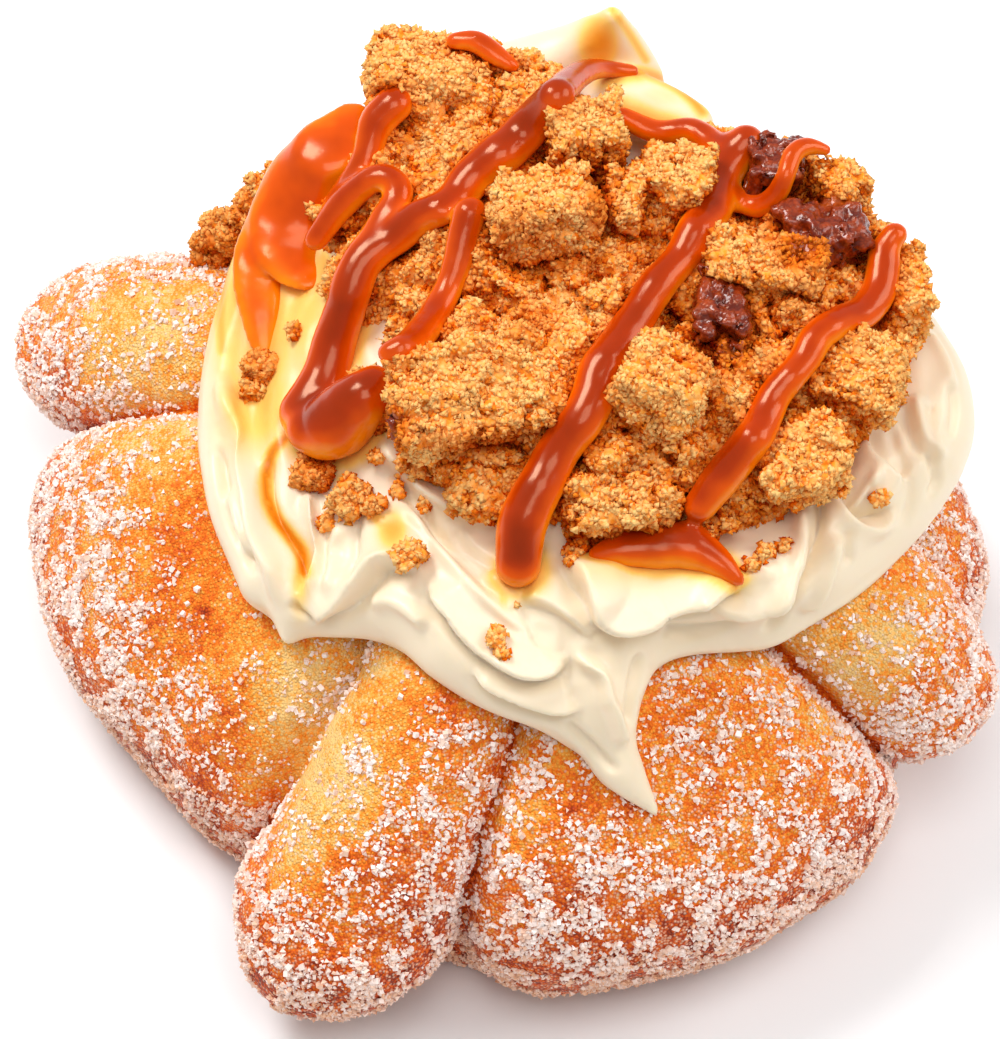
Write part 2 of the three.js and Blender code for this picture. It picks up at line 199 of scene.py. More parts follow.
def nearest_on(path, points):
    """For each point: its distance to a path, the closest place on it, the path's direction
    there, and how far along the path that is, from 0 to 1."""
    steps = np.diff(path, axis=0)
    lengths = np.linalg.norm(steps, axis=1)
    starts = np.concatenate([[0], np.cumsum(lengths)])
    gap = np.full(len(points), FAR)
    foot = np.zeros_like(points)
    heading = np.zeros_like(points)
    along = np.zeros(len(points))
    for index, (start, step) in enumerate(zip(path, steps)):
        length = lengths[index]
        if length == 0:
            continue
        share = np.clip((points - start) @ step / length ** 2, 0, 1)
        place = start + share[:, None] * step
        distance = np.linalg.norm(points - place, axis=1)
        closer = distance < gap
        gap[closer] = distance[closer]
        foot[closer] = place[closer]
        heading[closer] = step / length
        along[closer] = (starts[index] + share[closer] * length) / starts[-1]
    return gap, foot, heading, along


def is_inside(outline, points):
    """Which points lie inside a closed outline."""
    inside = np.zeros(len(points), bool)
    for (ax, ay), (bx, by) in zip(outline, np.roll(outline, -1, axis=0)):
        crosses = (ay > points[:, 1]) != (by > points[:, 1])
        if ay != by:
            inside ^= crosses & (points[:, 0] < (bx - ax) * (points[:, 1] - ay) / (by - ay) + ax)
    return inside


# ---------------------------------------------------------------- fields of distances


def smooth_min(a, b, blend):
    """The lower of two distances, with a rounded join that is about blend wide."""
    if blend == 0:
        return np.minimum(a, b)
    near = np.maximum(blend - np.abs(a - b), 0) / blend
    return np.minimum(a, b) - near * near * blend / 4


class Field:
    """Distances to a surface on a grid of points, negative inside it."""

    def __init__(self, low, high, cell):
        self.low = np.array(low, float)
        self.cell = cell
        count = np.ceil((np.array(high, float) - self.low) / cell).astype(int) + 1
        self.values = np.full(count, FAR, np.float32)

    def part(self, low, high):
        """The part of the grid between two corners, and its x, y and z."""
        first = np.clip(np.floor((low - self.low) / self.cell).astype(int), 0, self.values.shape)
        last = np.clip(np.ceil((high - self.low) / self.cell).astype(int) + 1, 0, self.values.shape)
        slices = tuple(slice(a, b) for a, b in zip(first, last))
        lines = [base + self.cell * np.arange(a, b) for base, a, b in zip(self.low, first, last)]
        return slices, np.meshgrid(*lines, indexing="ij", sparse=True)

    def whole(self):
        return self.part(self.low, self.low + self.cell * np.array(self.values.shape))

    def plan(self, outline):
        """The grid seen from above: its columns, how far each is outside a closed outline, and
        the shape that lays a number for each column over the grid."""
        _, (x, y, _) = self.whole()
        columns = np.stack(np.broadcast_arrays(x, y), axis=-1)[:, :, 0, :].reshape(-1, 2)
        gap = nearest_on(np.concatenate([outline, outline[:1]]), columns)[0]
        gap = np.where(is_inside(outline, columns), -gap, gap)
        return columns, gap, (x.shape[0], y.shape[1], 1)

    def join(self, slices, distance, blend):
        self.values[slices] = smooth_min(self.values[slices], distance, blend)

    def roll(self, points, radii, blend, flat=1.0):
        """Joins on a round bar through points, with a radius at each and a height that is
        flat times its width."""
        radii = np.asarray(radii, float)
        reach = radii.max() + blend + self.cell
        slices, _ = self.part(points.min(axis=0) - reach, points.max(axis=0) + reach)
        own = np.full(self.values.shape, FAR, np.float32)
        for point, radius in zip(points, radii):
            around = radius + blend + self.cell
            local, (x, y, z) = self.part(point - around, point + around)
            squares = (x - point[0]) ** 2 + (y - point[1]) ** 2 + ((z - point[2]) / flat) ** 2
            own[local] = np.minimum(own[local], np.sqrt(squares) - radius)
        self.join(slices, own[slices], blend)

    def near(self, band):
        """The grid points near the surface: their places in the grid and in space."""
        places = np.argwhere(np.abs(self.values) < band)
        return places, self.low + self.cell * places

    def roughen(self, band, change):
        """Moves the surface by a function of the points near it."""
        places, points = self.near(band)
        self.values[tuple(places.T)] += change(points)

    def surface(self):
        """The points and four-sided faces of the surface."""
        inside = self.values < 0
        corners = list(itertools.product((0, 1), repeat=3))
        shape = np.array(self.values.shape) - 1

        def shifted(grid, corner):
            return grid[tuple(slice(c, c + n) for c, n in zip(corner, shape))]

        count = sum(shifted(inside, corner).astype(np.int8) for corner in corners)
        active = (count > 0) & (count < 8)
        number = np.full(active.shape, -1, np.int64)
        number[active] = np.arange(active.sum())
        base = np.argwhere(active)
        total = np.zeros((len(base), 3))
        crossings = np.zeros(len(base))
        values = {corner: shifted(self.values, corner)[active] for corner in corners}
        for a, b in itertools.combinations(corners, 2):
            if sum(b) - sum(a) != 1 or any(bi < ai for ai, bi in zip(a, b)):
                continue
            cut = (values[a] < 0) != (values[b] < 0)
            share = np.zeros(len(base))
            share[cut] = values[a][cut] / (values[a][cut] - values[b][cut])
            place = np.array(a) + share[:, None] * (np.array(b) - np.array(a))
            total += place * cut[:, None]
            crossings += cut
        points = self.low + self.cell * (base + total / crossings[:, None])
        faces = []
        for axis in range(3):
            first, second = (axis + 1) % 3, (axis + 2) % 3
            ahead = [slice(None)] * 3
            ahead[axis] = slice(1, None)
            behind = [slice(None)] * 3
            behind[axis] = slice(None, -1)
            change = inside[tuple(behind)] != inside[tuple(ahead)]
            spots = np.argwhere(change)
            limits = np.array(active.shape)
            fits = (spots[:, first] > 0) & (spots[:, second] > 0)
            fits &= (spots[:, first] < limits[first]) & (spots[:, second] < limits[second])
            spots = spots[fits]
            ring = []
            for one, two in ((-1, -1), (0, -1), (0, 0), (-1, 0)):
                cell = spots.copy()
                cell[:, first] += one
                cell[:, second] += two
                ring.append(number[tuple(cell.T)])
            ring = np.stack(ring, axis=1)
            outwards = inside[tuple(spots.T)]
            faces.append(np.where(outwards[:, None], ring, ring[:, ::-1]))
        return points, np.concatenate(faces)


# ---------------------------------------------------------------- meshes

HIDDEN_DEPTH = 0.3
HIDDEN_WORTH = 0.05  # pieces with a smaller share of hidden faces stay whole
HIDDEN_KEPT = 0.12  # the share of the hidden faces that stays


def normals_of(points, faces):
    across = points[faces[:, 2]] - points[faces[:, 0]]
    along = points[faces[:, 3]] - points[faces[:, 1]]
    facing = np.cross(across, along)
    total = np.stack([
        sum(np.bincount(faces[:, corner], facing[:, axis], len(points)) for corner in range(4))
        for axis in range(3)
    ], axis=1)
    return total / np.maximum(np.linalg.norm(total, axis=1, keepdims=True), 1e-9)


def relax(points, faces, rounds, share=0.5):
    """Smooths a surface by drawing each point towards its neighbours."""
    starts = faces.ravel()
    ends = np.roll(faces, -1, axis=1).ravel()
    count = np.bincount(starts, minlength=len(points)) + np.bincount(ends, minlength=len(points))
    for _ in range(rounds):
        total = np.stack([
            np.bincount(starts, points[ends, axis], len(points))
            + np.bincount(ends, points[starts, axis], len(points))
            for axis in range(3)
        ], axis=1)
        points = points + share * (total / count[:, None] - points)
    return points


def blur(values, faces, rounds):
    """Evens out a number at each point with its neighbours'."""
    return relax(np.repeat(values[:, None], 3, axis=1), faces, rounds)[:, 0]


def tree_of(points, faces):
    return BVHTree.FromPolygons(points.tolist(), faces.tolist())


def make_piece(name, points, faces, finish, slot, nodes=(), smooth=True, caps=(), **values):
    """A mesh that rides on the body, with a number at each point for each named value."""
    mesh = bpy.data.meshes.new(name)
    mesh.from_pydata((points * MM).tolist(), [], faces.tolist() + [list(cap) for cap in caps])
    mesh.polygons.foreach_set("use_smooth", np.full(len(mesh.polygons), smooth))
    for key, numbers in values.items():
        attribute = mesh.attributes.new(key, "FLOAT", "POINT")
        attribute.data.foreach_set("value", np.clip(numbers, 0, 1).astype(np.float32))
    mesh.materials.append(finish)
    mesh.update()
    piece = bpy.data.objects.new(name, mesh)
    bpy.context.scene.collection.objects.link(piece)
    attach(piece, BODY)
    if nodes:
        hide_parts(*nodes)
    return piece


def thin(piece, points, faces, solid):
    """Takes most of the points away where other pieces hide them."""
    normals = normals_of(points, faces)
    hidden = buried(points + HIDDEN_DEPTH * normals, normals, solid)
    for _ in range(2):
        hidden[faces[~hidden[faces].all(axis=1)].ravel()] = False
    share = hidden[faces].all(axis=1).mean()
    if share < HIDDEN_WORTH:
        return
    group = piece.vertex_groups.new(name="hidden")
    group.add(np.flatnonzero(hidden).tolist(), 1.0, "REPLACE")
    modifier = piece.modifiers.new("thin", "DECIMATE")
    modifier.ratio = 1 - share * (1 - HIDDEN_KEPT)
    modifier.vertex_group = group.name
    graph = bpy.context.evaluated_depsgraph_get()
    mesh = bpy.data.meshes.new_from_object(piece.evaluated_get(graph))
    piece.modifiers.clear()
    piece.vertex_groups.clear()
    piece.data = mesh


# ---------------------------------------------------------------- materials


def feed(tree, socket, value):
    """Sets a socket to a plain value, or links another node's output to it."""
    if isinstance(value, bpy.types.NodeSocket):
        tree.links.new(value, socket)
    else:
        socket.default_value = value


def node(tree, kind, settings=None, **inputs):
    """Adds a node. An input is a plain value, or another node's output."""
    made = tree.nodes.new(kind)
    for key, value in (settings or {}).items():
        setattr(made, key, value)
    for key, value in inputs.items():
        feed(tree, made.inputs[key.replace("_", " ")], value)
    return made


def value_of(tree, name):
    return node(tree, "ShaderNodeAttribute", {"attribute_name": name}).outputs["Fac"]


def noise(tree, size_mm, detail=2.0, roughness=0.5):
    place = node(tree, "ShaderNodeTexCoord").outputs["Object"]
    made = node(tree, "ShaderNodeTexNoise", Vector=place, Scale=1 / (size_mm * MM), Detail=detail,
                Roughness=roughness)
    return made.outputs["Fac"]


def speckle(tree, size_mm):
    """Scattered grains: the distance to the nearest one, and two random numbers of its own."""
    place = node(tree, "ShaderNodeTexCoord").outputs["Object"]
    made = node(tree, "ShaderNodeTexVoronoi", Vector=place, Scale=1 / (size_mm * MM))
    shade = node(tree, "ShaderNodeSeparateColor", Color=made.outputs["Color"])
    return made.outputs["Distance"], shade.outputs["Red"], shade.outputs["Green"]


def math_of(tree, operation, a, b=0.0, clamp=False):
    made = node(tree, "ShaderNodeMath", {"operation": operation, "use_clamp": clamp})
    for socket, value in zip(made.inputs, (a, b)):
        feed(tree, socket, value)
    return made.outputs[0]


def colours(tree, factor, stops):
    """A colour for each number from 0 to 1. Stops are places and sRGB colours out of 255."""
    made = node(tree, "ShaderNodeValToRGB", Fac=factor)
    elements = made.color_ramp.elements
    while len(elements) < len(stops):
        elements.new(0.5)
    for element, (place, colour) in zip(elements, stops):
        element.position = place
        element.color = linear(colour)
    return made.outputs["Color"]


def mix(tree, factor, a, b):
    made = node(tree, "ShaderNodeMix", {"data_type": "RGBA"})
    sockets = {socket.identifier: socket for socket in made.inputs}
    for key, value in (("Factor_Float", factor), ("A_Color", a), ("B_Color", b)):
        feed(tree, sockets[key], value)
    return [socket for socket in made.outputs if socket.identifier == "Result_Color"][0]


def linear(colour):
    """A linear colour from sRGB out of 255."""
    shares = np.array(colour) / 255
    values = np.where(shares <= 0.04045, shares / 12.92, ((shares + 0.055) / 1.055) ** 2.4)
    return (*values, 1.0)


def new_material(name, **settings):
    """A Principled material: its node tree, and the shader with plain values set."""
    material = bpy.data.materials.new(name)
    material.use_nodes = True
    shader = material.node_tree.nodes["Principled BSDF"]
    for key, value in settings.items():
        shader.inputs[key.replace("_", " ")].default_value = value
    return material, material.node_tree, shader


def bump(tree, shader, height, distance_mm, strength=1.0):
    made = node(tree, "ShaderNodeBump", Height=height, Distance=distance_mm * MM, Strength=strength)
    tree.links.new(made.outputs["Normal"], shader.inputs["Normal"])


def crust_material():
    """Baked crust: pale yellow to deep orange-brown, with painted shade, under a dust of fine sugar."""
    material, tree, shader = new_material("crust", Roughness=0.55, Specular_IOR_Level=0.25)
    mottle = math_of(tree, "SUBTRACT", noise(tree, 2.4, 4), 0.5)
    tone = math_of(tree, "ADD", value_of(tree, "tone"), math_of(tree, "MULTIPLY", mottle, 0.75))
    distance, lot, shade = speckle(tree, 0.36)
    # Each fine speck of crust has a random colour, and painted shade towards its edge.
    grain = math_of(tree, "MULTIPLY", math_of(tree, "SUBTRACT", distance, shade), 0.42)
    tone = math_of(tree, "MULTIPLY", math_of(tree, "ADD", tone, grain), 0.84, clamp=True)
    crust = colours(tree, tone, CRUST_COLOURS)
    chance = math_of(tree, "MULTIPLY", value_of(tree, "dusting"), 0.62)
    there = math_of(tree, "LESS_THAN", lot, chance)
    dome = math_of(tree, "MULTIPLY", math_of(tree, "SUBTRACT", 0.66, distance), 2.4, clamp=True)
    dust = math_of(tree, "MULTIPLY", there, dome)
    base = mix(tree, math_of(tree, "MULTIPLY", dust, 0.6), crust, linear(DUST_COLOUR))
    tree.links.new(base, shader.inputs["Base Color"])
    height = math_of(tree, "ADD", math_of(tree, "MULTIPLY", dome, 0.9), noise(tree, 1.1, 4, 0.6))
    bump(tree, shader, height, 0.24, 0.8)
    return material


def sugar_material():
    material, tree, shader = new_material("sugar", Roughness=0.3, IOR=1.5)
    # The warmer colour: at random for some crystals, and painted shade for those low on the sides.
    base = mix(tree, value_of(tree, "tint"), linear(SUGAR_COLOUR), linear(SUGAR_TINT))
    tree.links.new(base, shader.inputs["Base Color"])
    return material


def cream_material():
    """Whipped cream, with golden stains where the caramel has run into it."""
    material, tree, shader = new_material(
        "cream", Roughness=0.35, Specular_IOR_Level=0.4, Subsurface_Weight=0.22,
        Subsurface_Radius=(1.0, 0.75, 0.45), Subsurface_Scale=1.6 * MM)
    base = colours(tree, value_of(tree, "stain"), CREAM_COLOURS)
    tree.links.new(base, shader.inputs["Base Color"])
    bump(tree, shader, noise(tree, 3.0, 3), 0.12, 0.5)
    return material


def crumb_material(name, shine):
    """Biscuit crumb: golden grains with painted shade between them, orange and then near black
    where syrup has soaked in."""
    material, tree, shader = new_material(
        name, Specular_IOR_Level=shine, Specular_Tint=(1, 0.66, 0.44, 1), Coat_Roughness=0.12)
    distance, shade, _ = speckle(tree, 0.5)
    # How light the crumb is painted: random, with painted shade between the tiny grains.
    light = math_of(tree, "SUBTRACT", value_of(tree, "grain"), math_of(tree, "MULTIPLY", distance, 0.22))
    light = math_of(tree, "ADD", light, math_of(tree, "MULTIPLY", shade, 0.1))
    light = math_of(tree, "ADD", light, math_of(tree, "MULTIPLY", noise(tree, 6, 3), 0.3), clamp=True)
    dry = colours(tree, light, CRUMB_COLOURS)
    soaked = colours(tree, light, SOAKED_COLOURS)
    dark = colours(tree, light, SYRUP_COLOURS)
    syrup = value_of(tree, "syrup")
    damp = math_of(tree, "MULTIPLY", syrup, 2.2, clamp=True)
    full = math_of(tree, "MULTIPLY", math_of(tree, "SUBTRACT", syrup, 0.5), 3.0, clamp=True)
    tree.links.new(mix(tree, full, mix(tree, damp, dry, soaked), dark), shader.inputs["Base Color"])
    tree.links.new(math_of(tree, "MULTIPLY", full, 0.8), shader.inputs["Coat Weight"])
    rough = math_of(tree, "MULTIPLY", syrup, -0.75)
    tree.links.new(math_of(tree, "ADD", rough, 0.9, clamp=True), shader.inputs["Roughness"])
    bump(tree, shader, distance, 0.3, 0.5)
    tree.nodes["Bump"].invert = True
    return material


def caramel_material():
    """Caramel: orange where it is thin, deep red-brown where it is thick."""
    material, tree, shader = new_material(
        "caramel", Roughness=0.18, IOR=1.46, Specular_IOR_Level=0.6, Specular_Tint=(1, 0.7, 0.46, 1))
    cloud = math_of(tree, "SUBTRACT", noise(tree, 5, 2), 0.5)
    thick = math_of(tree, "ADD", value_of(tree, "thick"), math_of(tree, "MULTIPLY", cloud, 0.4), clamp=True)
    tree.links.new(colours(tree, thick, CARAMEL_COLOURS), shader.inputs["Base Color"])
    bump(tree, shader, noise(tree, 3.0, 2), 0.15, 0.35)
    return material


# Colours are sRGB out of 255.
CRUST_COLOURS = [
    (0.0, (255, 210, 132)), (0.25, (255, 172, 62)), (0.52, (250, 122, 14)), (0.84, (204, 70, 4)),
    (1.0, (134, 40, 4)),
]
SUGAR_COLOUR = (255, 243, 238)
SUGAR_TINT = (238, 184, 146)
DUST_COLOUR = (250, 218, 190)
CREAM_COLOURS = [
    (0.0, (243, 226, 197)), (0.35, (248, 206, 108)), (0.7, (240, 150, 22)), (1.0, (204, 96, 5)),
]
# The crumb ramps run from painted shade to painted light.
CRUMB_COLOURS = [(0.0, (176, 58, 4)), (0.28, (240, 108, 8)), (0.6, (255, 155, 48)), (1.0, (255, 204, 128))]
SOAKED_COLOURS = [(0.0, (112, 24, 0)), (0.4, (196, 68, 4)), (1.0, (246, 140, 34))]
SYRUP_COLOURS = [(0.0, (44, 8, 1)), (0.6, (104, 24, 4)), (1.0, (176, 66, 18))]
CARAMEL_COLOURS = [(0.0, (250, 142, 8)), (0.28, (224, 82, 0)), (0.6, (172, 48, 0)), (1.0, (120, 28, 0))]

CRUST = crust_material()
SUGAR = sugar_material()
CREAM = cream_material()
CRUMB = crumb_material("crumb", 0.08)
GLAZED = crumb_material("crumb_glazed", 0.3)
CARAMEL = caramel_material()

# ---------------------------------------------------------------- bread

BUN_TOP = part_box("bun")[1].z / MM
BUN_RADIUS = 57.8
EQUATOR_Z = 15.0
FOOT_RADIUS = 44.0
DOME_FLATNESS = 2.3  # the larger, the flatter the bun's middle
DOME_ROUNDNESS = 0.62  # the smaller, the steeper its rim
# Where the rim draws in: direction in degrees, depth in millimetres and width in radians.
WAISTS = [
    (240, 12.5, 0.68), (212, 2.2, 0.3), (335, 3.4, 0.5), (30, 2.6, 0.4), (68, 4.0, 0.4), (145, 1.5, 0.3),
]
BUN_AROUND = 320
BUN_RINGS = 72
SKIRT_RINGS = 28

BONE_FLATNESS = 0.74
BREAD_CELL = 0.62
# Each bone: points along its middle, and its half width at each.
BONES = {
    "bone_back_left": (
        [(-16, 12, 31), (-24.8, 17, 32), (-35.6, 21.9, 31), (-42.5, 25.5, 26), (-48.8, 29.8, 18.5)],
        (8.5, 9.5, 10.5, 11.6, 11.8),
    ),
    "bone_front_left": (
        [(-4, -14, 32), (-6.6, -22, 33.5), (-8.2, -29.2, 33), (-12.8, -36.8, 26), (-18.4, -44.4, 15),
         (-21.6, -47.6, 11.5)],
        (8.5, 9, 9.2, 10.6, 12.6, 9.2),
    ),
    "bone_right": (
        [(20, -6, 31), (33.2, -12, 33.5), (40.8, -16, 30.5), (46.6, -18.3, 20.5)],
        (8, 9.2, 10, 10.2),
    ),
    "bone_back_right": (
        [(8, 20, 31), (12, 29, 32), (17.5, 39, 26), (21, 46, 17.5)],
        (8.5, 9.6, 10.8, 11.4),
    ),
}
SEAM_DEPTH = 2.6
SEAM_REACH = 2.2
PILLOW_HEIGHT = 1.3
PILLOW_REACH = 10.0
PILLOW_WIDTH = 6
FILLET = 0.35  # how softly a bone joins the bun
FILLET_REACH = 1.0
BONE_OVERLAP = 0.35  # how deep a bone reaches into the bun
# Crust that faces this way is painted darker, as shade.
SHADED_SIDE = np.array([0.75, -0.45, -0.48])
# How wide the painted shade in the creases beside the bones is, in millimetres.
CREASE = 0.9
# Patches of the crust: middle and reach in photo pixels, and how much deeper its colour is: more
# baked in most, painted shade in the wide ones low on the front.
BAKED_AND_SHADED_SPOTS = [
    ((225, 560), (80, 120), 0.16), ((215, 740), (50, 60), 0.1), ((300, 720), (44, 80), -0.34),
    ((350, 790), (34, 60), -0.3), ((250, 800), (50, 40), -0.14), ((292, 855), (36, 46), -0.26),
    ((395, 690), (40, 46), -0.26), ((440, 720), (40, 50), 0.18), ((390, 880), (50, 70), 0.2),
    ((330, 985), (70, 36), 0.2), ((203, 611), (7, 6), 0.9), ((690, 790), (150, 80), 0.16),
    ((620, 900), (150, 50), 0.2), ((700, 690), (70, 44), 0.24), ((600, 760), (60, 60), 0.1),
    ((880, 640), (60, 60), -0.24), ((120, 330), (70, 46), -0.2), ((60, 400), (40, 40), 0.2),
]
# Where the sugar lies thicker or thinner than elsewhere.
SUGAR_SPOTS = [
    ((230, 560), (84, 120), -0.5), ((240, 700), (60, 80), -0.22), ((300, 740), (50, 90), -0.4),
    ((75, 540), (56, 150), 0.3), ((140, 720), (70, 60), 0.16), ((385, 690), (60, 50), -0.35),
    ((450, 680), (50, 60), -0.25), ((290, 850), (44, 50), -0.2), ((390, 870), (40, 60), -0.15),
    ((440, 860), (30, 90), 0.2), ((320, 960), (80, 30), 0.1), ((620, 900), (150, 40), 0.3),
    ((840, 800), (60, 80), 0.2), ((700, 700), (60, 40), -0.15), ((560, 770), (50, 60), -0.15),
    ((860, 610), (56, 44), -0.35), ((960, 720), (40, 50), 0.2), ((120, 330), (60, 46), -0.25),
    ((40, 360), (30, 60), 0.2),
]
# Where a bone and the bun have baked together without a crease.
SOFT_SEAMS = [
    ((370, 660), (50, 60), 1.0), ((320, 790), (50, 80), 1.0), ((260, 850), (30, 40), 1.0),
]


def rim_radius(turn):
    radius = np.full(np.shape(turn), BUN_RADIUS)
    for middle, depth, spread in WAISTS:
        away = (turn - math.radians(middle) + math.pi) % (2 * math.pi) - math.pi
        radius = radius - depth * np.exp(-((away / spread) ** 2))
    return radius


def crust_height(share):
    fall = np.maximum(1 - share ** DOME_FLATNESS, 0) ** DOME_ROUNDNESS
    return EQUATOR_Z + (BUN_TOP - EQUATOR_Z) * fall


def bread_height(x, y):
    """The height of the bun's crust over a place, before its seams are pressed in."""
    return crust_height(np.minimum(np.hypot(x, y) / rim_radius(np.arctan2(y, x)), 1))


def bone_line(bone):
    """Points along a bone's middle, and its half width at each."""
    route, radii = BONES[bone]
    path = spline(route, 12)
    return path, spread(radii, len(path))


def bun_distance(x, y, z):
    """Roughly how far a place is from the bun's crust, negative inside it."""
    out = np.hypot(x, y)
    rim = rim_radius(np.arctan2(y, x))
    above = z - crust_height(np.minimum(out / rim, 1))
    level = np.clip((z - EQUATOR_Z) / (BUN_TOP - EQUATOR_Z), 0, 1)
    dome = rim * (1 - level ** (1 / DOME_ROUNDNESS)) ** (1 / DOME_FLATNESS)
    sunk = np.clip(1 - z / EQUATOR_Z, 0, 1)
    skirt = FOOT_RADIUS + (rim - FOOT_RADIUS) * np.sqrt(1 - sunk ** 2)
    beside = out - np.where(z < EQUATOR_Z, skirt, dome)
    across = np.abs(above * beside) / np.maximum(np.hypot(above, beside), 1e-6)
    return np.where((above < 0) & (out < rim), -across, across)


def ring_faces(rings, around):
    """Four-sided faces between rings of points."""
    ring, spot = np.meshgrid(np.arange(rings - 1), np.arange(around), indexing="ij")
    after = (spot + 1) % around
    inner, outer = ring * around, (ring + 1) * around
    return np.stack([inner + spot, outer + spot, outer + after, inner + after], axis=-1).reshape(-1, 4)


def seam_gap(points):
    """How far each point is from the nearest bone's edge, seen from above."""
    gap = np.full(len(points), FAR)
    for bone in BONES:
        path, wide = bone_line(bone)
        distance, _, _, along = nearest_on(path[::3, :2], points[:, :2])
        gap = np.minimum(gap, distance - at_share(along, wide))
    return gap


def crust_relief(points, seed):
    """The crust's unevenness: broad swellings and small wrinkles."""
    return 0.9 * fbm(points, 26, 2, seed) + 0.34 * fbm(points, 4.5, 3, seed + 10)


def patch(pixels, middle, reach, edge=1.5):
    """A soft round patch of the photo: 1 in its middle, 0 outside, steeper with a larger edge."""
    away = (((pixels - middle) / reach) ** 2).sum(axis=1)
    return np.exp(-(away ** edge))


def patches(points, spots):
    """The sum of soft round patches, each with its middle and reach in photo pixels."""
    pixels = pixels_of(points)
    return sum(strength * patch(pixels, middle, reach, 1.4) for middle, reach, strength in spots)


def crust_tone(points, normals, gap, seed):
    """How deep the crust's colour is: golden in some places and more baked in others, with painted
    shade on the right and lower sides and in the creases beside the bones."""
    tone = 0.4 + 0.3 * fbm(points, 17, 2, seed) + 0.2 * fbm(points, 4.0, 2, seed + 5)
    tone -= 0.12 * np.exp(-((gap - 3.0) / 3.5) ** 2)
    # Painted shade in the creases beside the bones, left out where they baked together smoothly.
    crease = np.exp(-((np.maximum(gap, 0) / CREASE) ** 2))
    tone += 0.34 * crease * ramp(patches(points, SOFT_SEAMS), 0.6, 0.2)
    # Painted shade: darker towards the bottom, on the right and lower sides, and in some spots.
    tone += 0.7 * ramp(-points[:, 2], -30, -8)
    return tone + 0.3 * ramp(normals @ SHADED_SIDE, 0.1, 0.9) + patches(points, BAKED_AND_SHADED_SPOTS)


def dusting_of(points, gap):
    """How thickly the sugar lies: in drifts, thicker on the rim and low on the sides, and
    none in the creases."""
    rim = ramp(-points[:, 2], -38, -16)
    drifts = fbm(points, 9, 3, 31)
    amount = 0.5 + 0.3 * rim + 0.7 * drifts + patches(points, SUGAR_SPOTS)
    return np.clip(amount, 0.05, 1) * ramp(points[:, 2], 0.2, 2.0) * ramp(gap, -0.2, 0.9)


def bun_shift(points, gap):
    """How far the crust stands out from the bun's plain shape: pressed in along the bones,
    and swollen beside them."""
    seam = np.where(gap < 0, 1, np.exp(-((np.maximum(gap, 0) / SEAM_REACH) ** 2)))
    pillow = np.exp(-(((gap - PILLOW_REACH) / PILLOW_WIDTH) ** 2))
    return crust_relief(points, 3) - SEAM_DEPTH * seam + PILLOW_HEIGHT * pillow


def make_bun():
    turns = np.linspace(0, 2 * math.pi, BUN_AROUND, endpoint=False)
    rim = rim_radius(turns)
    rings = []
    for share in np.linspace(0.04, 1, BUN_RINGS) ** 0.8:
        rings.append((rim * share, np.full(BUN_AROUND, crust_height(share))))
    for drop in np.linspace(0, math.pi / 2, SKIRT_RINGS + 1)[1:]:
        out = FOOT_RADIUS + (rim - FOOT_RADIUS) * math.cos(drop)
        rings.append((out, np.full(BUN_AROUND, EQUATOR_Z * (1 - math.sin(drop)))))
    points = np.concatenate([
        np.stack([out * np.cos(turns), out * np.sin(turns), height], axis=1) for out, height in rings
    ])
    faces = ring_faces(len(rings), BUN_AROUND)
    gap = seam_gap(points)
    free = ramp(points[:, 2], 0, 7)
    normals = normals_of(points, faces)
    points = points + normals * (bun_shift(points, gap) * free)[:, None]
    points[:, 2] = np.maximum(points[:, 2], 0)
    normals = normals_of(points, faces)
    last = (len(rings) - 1) * BUN_AROUND
    caps = [range(BUN_AROUND), range(last + BUN_AROUND - 1, last - 1, -1)]
    return points, faces, normals, gap, caps


def make_bone(bone, seed):
    """A strip of dough that lies on the bun, with a fillet where the two have baked together."""
    path, wide = bone_line(bone)
    reach = wide.max() + FILLET_REACH + 1
    field = Field(path.min(axis=0) - reach, path.max(axis=0) + reach, BREAD_CELL)
    field.roll(path, wide, 0, BONE_FLATNESS)
    _, (x, y, z) = field.whole()
    bun = bun_distance(x, y, z) + BONE_OVERLAP
    places = np.argwhere((np.abs(bun) < 6) & (field.values < FILLET_REACH + 1))
    points = field.low + field.cell * places
    bun[tuple(places.T)] -= bun_shift(points, seam_gap(points))
    joined = smooth_min(field.values, bun, FILLET)
    field.values = np.maximum(joined, field.values - FILLET_REACH).astype(np.float32)
    points, faces = field.surface()
    points = relax(points, faces, 3)
    normals = normals_of(points, faces)
    on_top = ramp(field_gap(path, wide, points), 2.5, 0.5)
    points = points + normals * (crust_relief(points, seed) * on_top)[:, None]
    points[:, 2] = np.maximum(points[:, 2], 0.2)
    return points, faces, normals_of(points, faces)


def field_gap(path, wide, points):
    """How far each point is outside a bone's own round bar."""
    squash = np.array([1, 1, 1 / BONE_FLATNESS])
    distance, _, _, along = nearest_on(path[::3] * squash, points * squash)
    return distance - at_share(along, wide)


def make_bread():
    """The bun and its bones: each piece with its surface, and how thickly sugar lies on it."""
    points, faces, normals, gap, caps = make_bun()
    gap = np.maximum(gap, EQUATOR_Z - 3 - points[:, 2])
    dusting = dusting_of(points, gap)
    bun = make_piece("bread_bun", points, faces, CRUST, "crust", ["bun"], caps=caps,
                     tone=crust_tone(points, normals, gap, 21), dusting=dusting)
    bread, dustings = [(bun, points, faces)], [dusting]
    for index, bone in enumerate(BONES):
        points, faces, normals = make_bone(bone, 40 + index)
        gap = bun_distance(*points.T) + 0.8 * SEAM_DEPTH
        dusting = dusting_of(points, gap)
        tone = crust_tone(points, normals, gap, 60 + index)
        piece = make_piece("bread_" + bone, points, faces, CRUST, "bone_crust", [bone],
                           tone=tone, dusting=dusting)
        bread.append((piece, points, faces))
        dustings.append(dusting)
    return bread, dustings


